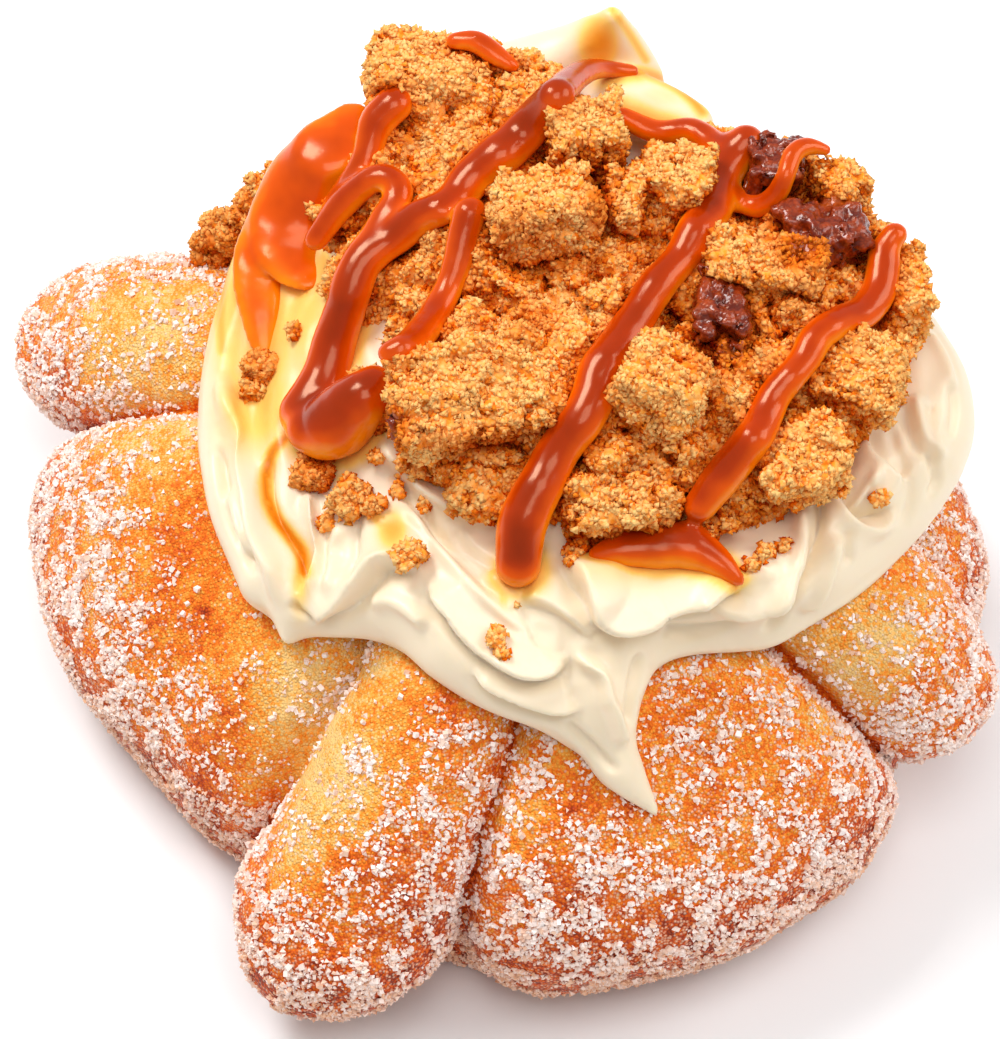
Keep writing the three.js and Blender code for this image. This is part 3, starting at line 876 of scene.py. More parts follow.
# ---------------------------------------------------------------- cream

CREAM_CELL = 0.41
CREAM_ROOM = ((-42, -50, 24), (60, 52, 72))  # two opposite corners
CREAM_CENTRE = np.array([10.0, 6.0])
# The widest line of the cream: x, y and height.
CREAM_EDGE = [
    (-31.3, 23, 45), (-34, 17, 42), (-36, 8, 38.5), (-35, -2, 37), (-30.5, -13, 37), (-26, -20.5, 37),
    (-21.5, -23.4, 39), (-12, -25.5, 42), (-5.5, -30.5, 42), (1.3, -33.8, 41), (8, -33.6, 40.5),
    (14, -30.2, 41), (19, -27.4, 41), (25, -26, 40), (31, -24.5, 40), (39, -19.3, 41), (46, -11.6, 41),
    (50.6, -4, 43), (52, 4, 45.5), (49.4, 11.5, 47), (45.5, 18.5, 47.5), (41, 26, 48), (34, 32.5, 49),
    (26, 37, 50), (14, 41, 52), (2, 43, 52), (-10, 43.8, 50.6), (-21.5, 40.5, 48.6), (-28, 32.5, 47),
]
CREAM_CROWN = 54.0
CREAM_EDGE_ROUND = 5.5
CREAM_SINK = 1.6
FOOT_INSET = 1.3  # how far inside the cream's rim its foot begins
FOOT_SLOPE = 0.6  # and how much further inside with each millimetre down


def turn_round(points):
    """Which way each point lies from the middle of the cream, seen from above."""
    return np.arctan2(points[:, 1] - CREAM_CENTRE[1], points[:, 0] - CREAM_CENTRE[0])


def cream_level(places):
    """The height of the cream's widest line in the direction of each place, seen from above."""
    edge = spline(CREAM_EDGE, 6, closed=True)
    return np.interp(turn_round(places), turn_round(edge), edge[:, 2], period=2 * math.pi)


def cream_base():
    """The mound of cream: a thick slab with a rounded edge, and a foot down to the bread."""
    field = Field(*CREAM_ROOM, CREAM_CELL)
    _, (_, _, z) = field.whole()
    flat, gap, shape = field.plan(spline(CREAM_EDGE, 6, closed=True)[:, :2])
    level = cream_level(flat)
    rise = ramp(-gap, 0, 24)
    top = (level + 3.2) * (1 - rise) + CREAM_CROWN * rise
    bottom = level - 4.5
    ground = bread_height(flat[:, 0], flat[:, 1]) - CREAM_SINK
    gap, level, top, bottom, ground = (a.reshape(shape) for a in (gap, level, top, bottom, ground))
    out = np.maximum(gap + CREAM_EDGE_ROUND, 0)
    over = np.maximum(z - (top - CREAM_EDGE_ROUND), (bottom + CREAM_EDGE_ROUND) - z)
    rounded = np.hypot(out, np.maximum(over, 0)) - CREAM_EDGE_ROUND
    inner = np.minimum(np.maximum(gap, z - top), 0)
    body = np.where((out > 0) | (over > 0), rounded, np.minimum(inner, rounded))
    foot = np.maximum(gap + FOOT_INSET + FOOT_SLOPE * (level - z), z - level + 3)
    field.values[:] = smooth_min(body, 0.85 * foot, 3.0)
    return field, np.broadcast_to(ground, (*shape[:2], 1))


def make_cream(bread):
    """The cream: a mound with rolls and a tongue joined on, then folds pressed into it."""
    field, ground = cream_base()
    for route, radii, blend, flat in CREAM_ROLLS:
        path = spline(route, 10)
        field.roll(path, spread(radii, len(path)), blend, flat)
    tongue = np.array([land(pixel, bread) for pixel in TONGUE_ROUTE])
    tongue[:, 2] += TONGUE_LIFT
    path = spline(tongue, 12)
    field.roll(path, spread(TONGUE_RADII, len(path)), 4.0, 0.8)
    _, (_, _, z) = field.whole()
    field.values[:] = np.maximum(field.values, ground - z)
    points, faces = field.surface()
    points = relax(points, faces, 3)
    normals = normals_of(points, faces)
    points = points + normals * (0.45 * fbm(points, 12, 2, 80))[:, None]
    normals = relax(normals_of(points, faces), faces, 3)
    surface = tree_of(points, faces)
    shift = np.zeros(len(points))
    for form, height, width, route in CREAM_FOLDS:
        spots = [land(pixel, surface) for pixel in spline(route, 4)]
        path = np.array([spot for spot in spots if spot is not None])
        shift += FOLD_DEPTH * fold(points, normals, path, form, height, FOLD_WIDTH * width)
    shift += STREAK_DEPTH * swirl_streaks(points)
    points = points + normals * shift[:, None]
    return relax(points, faces, 1, 0.3), faces


def swirl_streaks(points):
    """Shallow ridges that follow the edge of the cream round, as a spoon leaves them."""
    edge = spline(CREAM_EDGE, 4, closed=True)[:, :2]
    gap = nearest_on(np.concatenate([edge, edge[:1]]), points[:, :2].copy())[0]
    turn = turn_round(points)
    across = gap + 0.5 * points[:, 2] + 1.5 * fbm(points, 14, 1, 86)
    return perlin(np.stack([across / 2.2, 4 * np.cos(turn), 4 * np.sin(turn)], axis=1), 85)


def fold(points, normals, path, form, height, width):
    """How far one fold moves each point: a groove, a ridge, or a lip whose left side, seen
    along its route, stands above its right side."""
    reach = 3.5 * width + 4 * FOLD_FADE * (form == "lip")
    near = np.all((points > path.min(axis=0) - reach) & (points < path.max(axis=0) + reach), axis=1)
    gap, foot, heading, along = nearest_on(path, points[near])
    ends = ramp(along, 0, 0.18) * ramp(1 - along, 0, 0.18)
    if form == "lip":
        leftwards = np.cross(normals[near], heading)
        side = gap * np.sign(np.einsum("ij,ij->i", points[near] - foot, leftwards))
        raised = ramp(side, -width, width)
        moved = raised * np.exp(-np.maximum(side, 0) / FOLD_FADE)
        moved -= 0.4 * (1 - raised) * np.exp(-((side / (3 * width)) ** 2))
    else:
        moved = np.exp(-((gap / width) ** 2)) * (1 if form == "ridge" else -1)
    shift = np.zeros(len(points))
    shift[near] = height * moved * ends
    return shift


# Rolls of cream: their routes, their radii along the route, how softly they join, and flatness.
CREAM_ROLLS = [
    ([(-28, 26, 45), (-31, 12, 42), (-31, -4, 40), (-27, -16, 39)], (3, 4, 3.5), 3.0, 1.0),
    ([(-22, 10, 46), (-25, -6, 43), (-24, -16, 41), (-24.6, -23.2, 37.4)], (4, 4, 0.6), 3.0, 1.0),
    ([(-15, -12, 44), (-8, -21, 43), (0, -27.5, 41.5), (8, -31, 39.5)], (5, 7, 5), 4.0, 0.9),
    ([(-23, -20, 40), (-12, -20, 43), (0, -22, 45), (10, -24, 45)], (2.5, 5.5, 6), 3.0, 0.9),
    ([(40, -8, 46), (31, -18, 45), (19, -21, 45), (10, -19, 45)], (3, 5, 3.5), 3.0, 0.9),
    ([(46, 12, 46), (48, 2, 45), (43, -8, 43.5), (34, -16, 43)], (3, 5, 3), 3.0, 1.0),
    ([(-2, 41, 55), (5.5, 43, 58.5), (9.5, 43.2, 62), (11.9, 43.3, 65.5)], (5, 3.6, 2.4, 0.6), 2.0, 1.0),
    ([(11.9, 43.3, 65.5), (13.4, 43, 60.5), (14.2, 42, 55)], (0.6, 2.2, 4), 2.0, 1.0),
    ([(10, 37, 57), (14, 36, 58.5), (21, 34, 57)], (4, 4, 3), 2.0, 0.9),
]
FOLD_DEPTH = 2.0  # all folds' heights are multiplied by this
FOLD_WIDTH = 0.75  # and their widths by this
STREAK_DEPTH = 0.5
FOLD_FADE = 2.8  # how far a lip's raised side takes to level out, in millimetres
# Folds of the cream: form, height and width in millimetres, and route in photo pixels.
CREAM_FOLDS = [
    ("lip", 1.5, 0.5, [(425, 578), (434, 602), (448, 618), (458, 634), (477, 653), (499, 666), (520, 676),
      (541, 678), (557, 672), (568, 658), (568, 648)]),
    ("lip", 1.1, 0.5, [(469, 669), (485, 684), (509, 696), (533, 705), (557, 712), (574, 712), (584, 706)]),
    ("ridge", 1.1, 0.9, [(570, 653), (584, 661), (598, 672), (603, 684), (606, 699), (612, 712),
      (623, 752)]),
    ("lip", 2.0, 0.8, [(552, 559), (568, 573), (584, 591), (592, 607), (598, 624), (611, 632), (627, 632),
      (641, 626), (651, 618), (678, 609), (703, 604), (730, 594), (757, 578)]),
    ("groove", 0.7, 0.8, [(386, 455), (402, 484), (418, 508), (440, 535), (461, 559), (485, 586),
      (507, 605)]),
    ("groove", 0.5, 0.6, [(418, 516), (448, 538), (472, 562), (496, 581)]),
    ("groove", 0.6, 0.7, [(450, 527), (466, 546), (485, 562), (499, 570)]),
    ("ridge", 0.9, 1.2, [(378, 436), (397, 463), (418, 487), (440, 503), (461, 514), (501, 522)]),
    ("ridge", 0.5, 0.9, [(402, 500), (432, 540), (462, 575), (500, 612), (540, 640)]),
    ("lip", 1.6, 0.7, [(314, 627), (323, 618), (342, 609), (356, 597), (367, 584), (375, 575), (382, 567),
      (393, 565), (424, 569)]),
    ("ridge", 0.6, 1.2, [(366, 604), (386, 599), (407, 607), (430, 628)]),
    ("ridge", 1.2, 1.3, [(220, 370), (224, 392), (230, 416), (240, 438), (247, 462), (253, 496),
      (257, 527), (264, 548), (273, 570), (277, 592), (281, 616)]),
    ("groove", 0.8, 0.9, [(215, 440), (222, 470), (228, 510), (240, 545), (258, 580)]),
    ("ridge", 0.7, 0.8, [(230, 485), (227, 498), (232, 514), (240, 536), (245, 562)]),
    ("ridge", 1.0, 1.1, [(308, 488), (310, 511), (316, 536), (320, 555), (320, 573), (312, 592),
      (305, 603)]),
    ("groove", 1.0, 0.9, [(273, 451), (267, 470), (266, 488), (269, 503), (277, 520), (290, 536),
      (301, 551), (306, 566), (300, 600)]),
    ("groove", 0.6, 0.7, [(292, 600), (300, 611), (318, 622)]),
    ("ridge", 0.6, 1.2, [(345, 520), (338, 548), (338, 575), (330, 598)]),
    ("groove", 0.5, 1.0, [(360, 500), (356, 530), (358, 560), (350, 585)]),
    ("groove", 1.0, 0.9, [(819, 482), (819, 509), (816, 545), (810, 570), (797, 594), (783, 613),
      (760, 636)]),
    ("ridge", 0.8, 1.2, [(800, 500), (803, 530), (797, 565), (783, 590), (762, 612)]),
    ("ridge", 0.7, 1.2, [(834, 530), (830, 560), (818, 590), (800, 615)]),
    ("lip", -1.5, 0.7, [(858, 438), (848, 443), (838, 455), (834, 470), (836, 487), (844, 504),
      (853, 516), (868, 523), (885, 521), (897, 504)]),
    ("lip", 1.0, 0.7, [(907, 482), (890, 470), (876, 461), (868, 448), (858, 438)]),
    ("ridge", 0.6, 0.7, [(880, 473), (868, 487), (858, 502), (853, 511)]),
    ("groove", 0.4, 0.8, [(846, 526), (847, 545), (851, 565)]),
    ("groove", 0.5, 0.9, [(902, 400), (907, 424), (916, 444), (931, 458), (938, 478), (936, 487),
      (926, 504)]),
    ("ridge", 0.6, 1.1, [(915, 390), (922, 420), (932, 442), (946, 462)]),
    ("groove", 0.4, 0.8, [(931, 400), (930, 429), (933, 448), (938, 468)]),
    ("groove", 0.3, 0.7, [(950, 380), (954, 410), (950, 440)]),
    ("ridge", 0.4, 0.9, [(925, 330), (944, 360), (955, 395)]),
    ("groove", 0.3, 1.0, [(890, 420), (894, 444), (905, 470), (912, 500), (900, 530)]),
    ("groove", 0.5, 1.0, [(640, 650), (632, 690), (628, 730)]),
    ("groove", 0.5, 0.9, [(560, 720), (590, 745), (620, 775)]),
    ("ridge", 0.6, 1.3, [(690, 590), (730, 612), (770, 606), (800, 580)]),
    ("groove", 0.6, 1.1, [(660, 632), (700, 632), (745, 622)]),
    ("lip", 0.8, 0.7, [(520, 600), (545, 606), (570, 620), (590, 640)]),
]
TONGUE_ROUTE = [(573, 640), (590, 702), (602, 738), (619, 770), (655, 814)]
TONGUE_RADII = (7.4, 4.7, 3.4, 2.4, 0.5)
TONGUE_LIFT = 0.5

# ---------------------------------------------------------------- small grains

SHELTER_RAYS = 8
SHELTER_REACH = 6.0
CUBE = np.array(list(itertools.product((-1, 1), repeat=3)), float) / 2
CUBE_FACES = np.array([
    (0, 1, 3, 2), (4, 6, 7, 5), (0, 4, 5, 1), (2, 3, 7, 6), (0, 2, 6, 4), (1, 5, 7, 3),
])
OCTAHEDRON = np.array([(1, 0, 0), (-1, 0, 0), (0, 1, 0), (0, -1, 0), (0, 0, 1), (0, 0, -1)], float) / 2
OCTAHEDRON_FACES = np.array([
    (0, 2, 4), (2, 1, 4), (1, 3, 4), (3, 0, 4), (2, 0, 5), (1, 2, 5), (3, 1, 5), (0, 3, 5),
])
TETRAHEDRON = np.array([(1, 1, 1), (1, -1, -1), (-1, 1, -1), (-1, -1, 1)], float) / 2
TETRAHEDRON_FACES = np.array([(0, 1, 2), (0, 3, 1), (0, 2, 3), (1, 3, 2)])


def random_turns(count, rng):
    w, x, y, z = unit(rng.normal(size=(count, 4))).T
    return np.stack([
        1 - 2 * (y * y + z * z), 2 * (x * y - z * w), 2 * (x * z + y * w),
        2 * (x * y + z * w), 1 - 2 * (x * x + z * z), 2 * (y * z - x * w),
        2 * (x * z - y * w), 2 * (y * z + x * w), 1 - 2 * (x * x + y * y),
    ], axis=-1).reshape(count, 3, 3)


def many(form, form_faces, places, sizes, rng, uneven=0.2):
    """One closed grain at each place, each of its own size, turn and unevenness."""
    count = len(places)
    corners = form[None] * sizes[:, None, :] * (1 + rng.uniform(-uneven, uneven, (count, len(form), 3)))
    points = np.einsum("nij,nkj->nki", random_turns(count, rng), corners) + places[:, None]
    faces = form_faces[None] + (np.arange(count) * len(form))[:, None, None]
    return points.reshape(-1, 3), faces.reshape(-1, form_faces.shape[1])


def scatter(points, faces, normals, spread_per_mm2, rng):
    """Places spread evenly over a surface, its direction there, and a corner near each."""
    triangles = np.concatenate([faces[:, [0, 1, 2]], faces[:, [0, 2, 3]]])
    a, b, c = (points[triangles[:, i]] for i in range(3))
    areas = np.linalg.norm(np.cross(b - a, c - a), axis=1) / 2
    count = int(areas.sum() * spread_per_mm2)
    pick = rng.choice(len(triangles), count, p=areas / areas.sum())
    u, v = rng.random((2, count, 1))
    flip = u + v > 1
    u, v = np.where(flip, 1 - u, u), np.where(flip, 1 - v, v)
    corner = triangles[pick, 0]
    return a[pick] + u * (b - a)[pick] + v * (c - a)[pick], unit(normals[corner]), corner


def buried(places, facing, solid):
    """Which places lie inside a solid: the first surface outwards is seen from its inside."""
    inside = np.zeros(len(places), bool)
    for index, (place, line) in enumerate(zip(places, facing)):
        _, normal, _, _ = solid.ray_cast(Vector(place), Vector(line))
        inside[index] = normal is not None and normal.dot(Vector(line)) > 0
    return inside


def shelter(places, facing, solid, rng):
    """What share of the sky round each place is shut off by something close."""
    shut = np.zeros(len(places))
    for _ in range(SHELTER_RAYS):
        lines = unit(facing + 0.9 * unit(rng.normal(size=facing.shape)) + np.array([0, 0, 0.3]))
        for index, (place, line) in enumerate(zip(places, lines)):
            shut[index] += solid.ray_cast(Vector(place), Vector(line), SHELTER_REACH)[0] is not None
    return shut / SHELTER_RAYS


# ---------------------------------------------------------------- crumble

HEAP_CELL = 0.55
HEAP_ROOM = ((-28, -26, 40), (52, 50, 70))  # two opposite corners
HEAP_RIM = 1.0  # lumps keep this far inside the outline
HEAP_SIDE = 5  # how high the heap is at its outline
HEAP_SHOULDER = 15  # how far inside it is full height
HEAP_SEAT = 2  # how deep it sits in the cream's rim
SEAT_SLOPE = 0.6  # how steeply its sides draw in towards that seat
ROUGHNESS_REACH = 2.5
CHUNK_CELL = 0.42
LOOSE_CELL = 0.3
HEAP_OUTLINE = [
    (-18, 9), (-15, -3), (-10, -11), (0, -16), (10, -18.5), (20, -17), (30, -14), (37, -7), (43, 1),
    (45, 11), (44, 20), (36, 27), (25, 29.5), (13, 30), (6, 35), (-5, 41), (-15, 42), (-21, 34), (-21, 22),
]
HEAP_FLOOR = 46.0
HEAP_CROWN = 58.5
HEAP_LUMPS = 240
# The slope of crumble below the chunk at the back: middles and sizes of its lumps.
HEAP_MOUNDS = [
    ((-10, 33, 58), (11, 8, 7)), ((-3.5, 31, 59), (10, 8, 7)), ((-13.5, 29, 55.5), (9, 8, 7)),
    ((-7, 26, 58), (10, 8, 6)), ((-12, 21, 55), (9, 8, 6)), ((0, 26, 59.5), (9, 8, 6.5)),
    ((-6, 18, 57.5), (9, 8, 6)), ((-11, 13, 54.5), (8, 8, 6)), ((-3, 11, 58.5), (9, 7, 6)),
    ((1, 38, 58.5), (9, 7, 7)), ((8, 31, 60), (8, 7, 6)), ((40, 16, 55), (8, 8, 7)),
    ((33, 25, 57), (9, 7, 7)), ((25, 28, 58), (8, 6, 6)), ((22, 12, 59.5), (8, 7, 6)),
    ((6, 2, 59.5), (8, 8, 6)), ((25, -3, 58), (8, 8, 6)), ((10, -12, 55.5), (8, 6, 5)),
]
SKIRT_LUMPS = 7
# Each chunk's size in millimetres, its turn about the vertical and its lean to the front.
CHUNKS = {
    "crumble_chunk_crown": ((10.4, 9, 10), 10, 5),
    "crumble_chunk_middle": ((14, 10.5, 10.4), 12, -8),
    "crumble_slab": ((23, 13.5, 12.5), 16, 18),
    "crumble_chunk_front": ((10.6, 11.6, 11.4), 60, 12),
    "crumble_chunk_spur": ((6.4, 8.4, 9), -10, 5),
    "crumble_chunk_upper": ((11, 10, 9.4), -20, -8),
    "crumble_chunk_right": ((15.4, 8.6, 9), -8, 8),
    "crumble_chunk_edge": ((12.6, 11.4, 11.4), -15, 12),
    "crumble_chunk_low_right": ((11.8, 10.4, 9.6), 20, 12),
    "crumble_chunk_far_right": ((7.2, 12, 11.4), 8, 0),
    "crumble_chunk_ridge": ((7.0, 8, 8.6), 40, -10),
    "crumble_chunk_back": ((17.4, 12, 11), -8, -10),
    "crumble_chunk_behind": ((11.4, 9.4, 9.4), 20, 0),
    "crumble_chunk_small_front": ((9.4, 7.4, 7.4), -15, 15),
    "crumble_chunk_lip": ((12.4, 8.4, 8.4), 5, 18),
    "crumble_chunk_glazed_top": ((8.6, 9.6, 8.2), 0, 0),
    "crumble_chunk_glazed_side": ((11, 10.6, 8.6), 25, 0),
    "crumble_chunk_glazed_low": ((8, 10.6, 8.6), 0, 0),
    "crumble_stray_upper": ((8.2, 6.7, 8.2), 30, 0),
    "crumble_stray_lower": ((8.2, 7.2, 8.2), -20, 0),
}
# Where syrup has soaked the crumb: middle and reach in photo pixels, and how deeply.
SYRUP_SPOTS = [
    ((772, 164), (34, 44), 1.0), ((812, 232), (44, 42), 1.0), ((724, 330), (34, 48), 1.0),
    ((470, 440), (60, 12), 0.4), ((600, 200), (16, 34), 0.55), ((560, 264), (50, 12), 0.5),
    ((394, 430), (18, 26), 0.85), ((520, 230), (30, 22), 0.4), ((532, 324), (28, 22), 0.35),
    ((770, 303), (60, 14), 0.45), ((215, 245), (26, 26), 0.5), ((290, 150), (22, 20), 0.45),
    ((850, 225), (26, 16), 0.5), ((655, 262), (24, 14), 0.35), ((745, 190), (22, 40), 0.5),
]
# Crumbs that lie loose on the cream: place in photo pixels, size in millimetres, and syrup.
LOOSE_CRUMBS = [
    ((314, 476), (4.4, 4.6, 3.4), 0.24), ((350, 502), (4.6, 4.2, 3.2), 0.06),
    ((372, 510), (2.6, 2.6, 2.0), 0.08), ((408, 558), (3.8, 2.8, 2.4), 0.02),
    ((327, 526), (2.2, 2.4, 1.8), 0.04), ((379, 460), (1.8, 1.9, 1.6), 0.0),
    ((398, 492), (1.4, 1.5, 1.2), 0.0), ((426, 507), (1.9, 1.7, 1.4), 0.0),
    ((263, 372), (3.6, 4.2, 3.0), 0.2), ((255, 392), (2.6, 2.2, 2.0), 0.08),
    ((296, 334), (2.2, 1.8, 1.6), 0.06), ((498, 640), (2.6, 2.4, 1.6), 0.0),
    ((500, 655), (1.8, 1.8, 1.3), 0.0), ((577, 549), (3.0, 2.2, 2.0), 0.0),
    ((752, 566), (2.2, 2.0, 1.5), 0.1), ((765, 556), (2.6, 1.8, 1.6), 0.0),
    ((783, 548), (2.2, 1.6, 1.4), 0.0), ((880, 499), (2.4, 1.6, 1.2), 0.0),
    ((516, 605), (1.3, 1.2, 1.0), 0.0), ((570, 560), (1.6, 1.6, 1.2), 0.0),
    ((945, 296), (2.2, 2.6, 1.8), 0.1),
]
# Crumbs between the strays: the share of the way from the upper one to the lower, and the size.
STRAY_BRIDGE = [
    (-0.42, (5, 4, 5)), (0.28, (6, 5, 6)), (0.5, (6.5, 5, 6)), (0.72, (6, 5, 6)), (1.25, (4.4, 4, 4.4)),
]
CLUSTER_SIZE = 2.4
GRAIN_SPREAD = 9.0  # tries for each square millimetre of crumb
KNOBS = 5  # smaller lumps on each broken one
CHUNK_TRIM = 1.35  # how far a chunk is drawn in to make room for its roughness
CHUNK_CUTS = 6
CUT_SHARES = (0.68, 0.94)  # how far out the cuts lie, as shares of the way to a corner
GRAIN_LOWEST = -0.55  # no grains where the surface faces down more steeply
SYRUP_BARE = 0.7  # no grains where there is more syrup


def block(x, y, z, centre, axes, half, rounding, cuts):
    """Distance to a rounded block that has some corners cut off."""
    local = [
        axis[0] * (x - centre[0]) + axis[1] * (y - centre[1]) + axis[2] * (z - centre[2]) for axis in axes
    ]
    over = [np.abs(coordinate) - (size - rounding) for coordinate, size in zip(local, half)]
    outside = np.sqrt(sum(np.maximum(value, 0) ** 2 for value in over))
    distance = outside + np.minimum(np.maximum(np.maximum(over[0], over[1]), over[2]), 0) - rounding
    for facing, share in cuts:
        support = sum(abs(n) * size for n, size in zip(facing, half))
        plane = sum(n * coordinate for n, coordinate in zip(facing, local)) - share * support
        distance = -smooth_min(-distance, -plane, rounding)
    return distance


def random_cuts(rng, count, low=0.72, high=0.92):
    """Cuts across a block's corners and edges: their directions, and how far out they lie."""
    sides = rng.choice([-1, 1], (count, 3)) * rng.uniform(0.05, 1, (count, 3))
    return [(unit(side), rng.uniform(low, high)) for side in sides]


def random_axes(rng):
    first = unit(rng.normal(size=3))
    second = unit(np.cross(first, rng.normal(size=3)))
    return np.array([first, second, np.cross(first, second)])


def add_lump(field, centre, half, rounding, cuts, blend, rng, reach=6):
    """Joins a block on, turned at random and with a few cuts."""
    slices, grid = field.part(centre - reach, centre + reach)
    axes = random_axes(rng)
    field.join(slices, block(*grid, centre, axes, half, rounding, random_cuts(rng, cuts)), blend)


def closest(places, spot):
    return np.argmin(np.abs(places - spot).sum(axis=1))


def middle_of(name):
    """The middle of a CAD node's box, in millimetres."""
    return sum(np.array(corner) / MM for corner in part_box(name)) / 2


def crumble_noise(points, seed):
    """Broken crumb: lumps of several sizes, clusters with gaps between them, and sharp pits."""
    lumps = 1.0 * fbm(points, 6.5, 2, seed) + 0.9 * fbm(points, 2.0, 2, seed + 7)
    clusters, _ = cells(points, CLUSTER_SIZE, seed + 20)
    pits = np.abs(fbm(points, 3.6, 2, seed + 13))
    return lumps + 1.3 * (clusters - 0.5) + 1.1 * np.exp(-((pits / 0.07) ** 2)) - 0.1


def grainy(points, faces, seed):
    """Raises rounded grains on a crumb surface. Returns the points, and how bright each one
    is: a random share for each of the grains, with painted shade between them.
    """
    normals = normals_of(points, faces)
    coarse, shade = cells(points, 1.25, seed)
    fine, _ = cells(points, 0.7, seed + 1)
    raised = 0.52 * (0.55 - coarse) + 0.3 * (0.5 - fine)
    moved = points + normals * raised[:, None]
    bright = 0.7 - 0.3 * ramp(coarse, 0.45, 0.95) - 0.1 * ramp(fine, 0.4, 0.8) + 0.14 * (shade - 0.5)
    return moved, bright


def make_heap():
    """The core of crumbs under and between the chunks."""
    field = Field(*HEAP_ROOM, HEAP_CELL)
    _, (_, _, z) = field.whole()
    flat, gap, shape = field.plan(spline(HEAP_OUTLINE, 5, closed=True))
    side = HEAP_FLOOR + HEAP_SIDE
    top = side + (HEAP_CROWN - side) * ramp(-gap, 0, HEAP_SHOULDER)
    sides = np.maximum(gap.reshape(shape), (z - top.reshape(shape)) * 0.8)
    field.values[:] = np.maximum(sides, HEAP_FLOOR - 4 - z)
    rng = np.random.default_rng(5)
    inside = flat[gap < -HEAP_RIM]
    for _ in range(HEAP_LUMPS):
        spot = inside[rng.integers(len(inside))]
        half = rng.uniform(1.4, 3.6, 3)
        height = top[closest(flat, spot)] + rng.uniform(-1.2, 1.8)
        add_lump(field, np.array([*spot, height]), half, 0.5, 4, 0.3, rng)
    for centre, size in HEAP_MOUNDS:
        add_lump(field, np.array(centre), np.array(size) / 2, 0.6, 5, 0.6, rng, 8)
    for name, (size, _, _) in CHUNKS.items():
        for turn in rng.uniform(0, 2 * math.pi, SKIRT_LUMPS):
            aside = np.array([size[0] * math.cos(turn), size[1] * math.sin(turn)])
            spot = middle_of(name)[:2] + aside / 2
            index = closest(flat, spot)
            if gap[index] > -HEAP_RIM:
                continue
            centre = np.array([*spot, top[index] + rng.uniform(-0.5, 2.5)])
            add_lump(field, centre, rng.uniform(1.6, 3.2, 3), 0.7, 4, 0.3, rng)
    field.roughen(ROUGHNESS_REACH, lambda points: crumble_noise(points, 90))
    rim = cream_level(flat).reshape(shape)
    inside_rim = gap.reshape(shape) - HEAP_RIM + SEAT_SLOPE * (rim + HEAP_SEAT - z)
    field.values[:] = np.maximum(field.values, np.maximum(rim - HEAP_SEAT - z, inside_rim))
    return field.surface()


def broken(centre, size, turn, lean, trim, cell, rough, rng, seed):
    """One broken lump: a block with its corners knocked off and its faces torn. The trim makes
    room for the roughness."""
    half = np.array(size) / 2
    turn, lean = math.radians(turn), math.radians(lean)
    across = np.array([math.cos(turn), math.sin(turn), 0])
    level = np.array([-math.sin(turn), math.cos(turn), 0])
    upward = np.array([0, 0, 1.0])
    axes = np.array([
        across,
        level * math.cos(lean) + upward * math.sin(lean),
        upward * math.cos(lean) - level * math.sin(lean),
    ])
    reach = np.linalg.norm(half) + 1.5
    field = Field(centre - reach, centre + reach, cell)
    slices, grid = field.whole()
    rounding = 0.12 * min(half)
    half = half - trim
    cuts = random_cuts(rng, CHUNK_CUTS, *CUT_SHARES)
    field.join(slices, block(*grid, centre, axes, half, rounding, cuts), 0)
    for side in unit(rng.normal(size=(KNOBS, 3))):
        place = centre + (side * half * rng.uniform(0.6, 0.85)) @ axes
        knob = min(half) * rng.uniform(0.25, 0.45, 3)
        add_lump(field, place, knob, 0.3 * min(knob), 4, 0.2 * min(knob), rng, FAR)
    field.roughen(ROUGHNESS_REACH, lambda points: rough * crumble_noise(points, seed))
    return field.surface()


def make_chunk(name, seed):
    size, turn, lean = CHUNKS[name]
    rng = np.random.default_rng(seed)
    return broken(middle_of(name), size, turn, lean, CHUNK_TRIM, CHUNK_CELL, 1.0, rng, seed)


def make_loose(ground):
    """The crumbs that have dropped on the cream, and those between the two strays: their
    surface, and the syrup in each point."""
    rng = np.random.default_rng(14)
    found, syrups = [], []
    strays = ("crumble_stray_upper", "crumble_stray_lower")
    upper, lower = (sum(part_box(name), Vector()) / 2 / MM for name in strays)
    for index, (share, size) in enumerate(STRAY_BRIDGE):
        centre = np.array(upper.lerp(lower, share))
        turn = rng.uniform(0, 90)
        points, faces = broken(centre, size, turn, 10, 0.5, CHUNK_CELL, 0.7, rng, 560 + index)
        found.append((points, faces))
        syrups.append(np.full(len(points), 0.2))
    for index, (pixel, size, syrup) in enumerate(LOOSE_CRUMBS):
        spot = land(pixel, ground)
        if spot is None:
            continue
        centre = spot + np.array([0, 0, 0.25 * size[2]])
        turn = rng.uniform(0, 90)
        points, faces = broken(centre, size, turn, 10, 0.25, LOOSE_CELL, 0.4, rng, 500 + index)
        found.append((points, faces))
        syrups.append(np.full(len(points), syrup))
    return (*joined(found), np.concatenate(syrups))


def soaked(points, gap):
    """How much syrup is in each crumb point: in the soaked spots, and close to the sauce."""
    pixels = pixels_of(points)
    syrup = 0.3 * np.exp(-((np.maximum(gap, 0) / 1.1) ** 2))
    for middle, reach, depth in SYRUP_SPOTS:
        syrup = np.maximum(syrup, depth * patch(pixels, middle, reach))
    ragged = 0.75 + 0.9 * fbm(points, 3.0, 2, 610)
    return np.clip(syrup * ragged, 0, 1)


# Each kind of crumb grain: its form, how many there are, and its least and greatest size.
GRAIN_KINDS = {
    "crumb_grains": (OCTAHEDRON, OCTAHEDRON_FACES, 21000, 0.54, 1.0),
    "crumb_bits": (TETRAHEDRON, TETRAHEDRON_FACES, 42000, 0.44, 0.8),
}


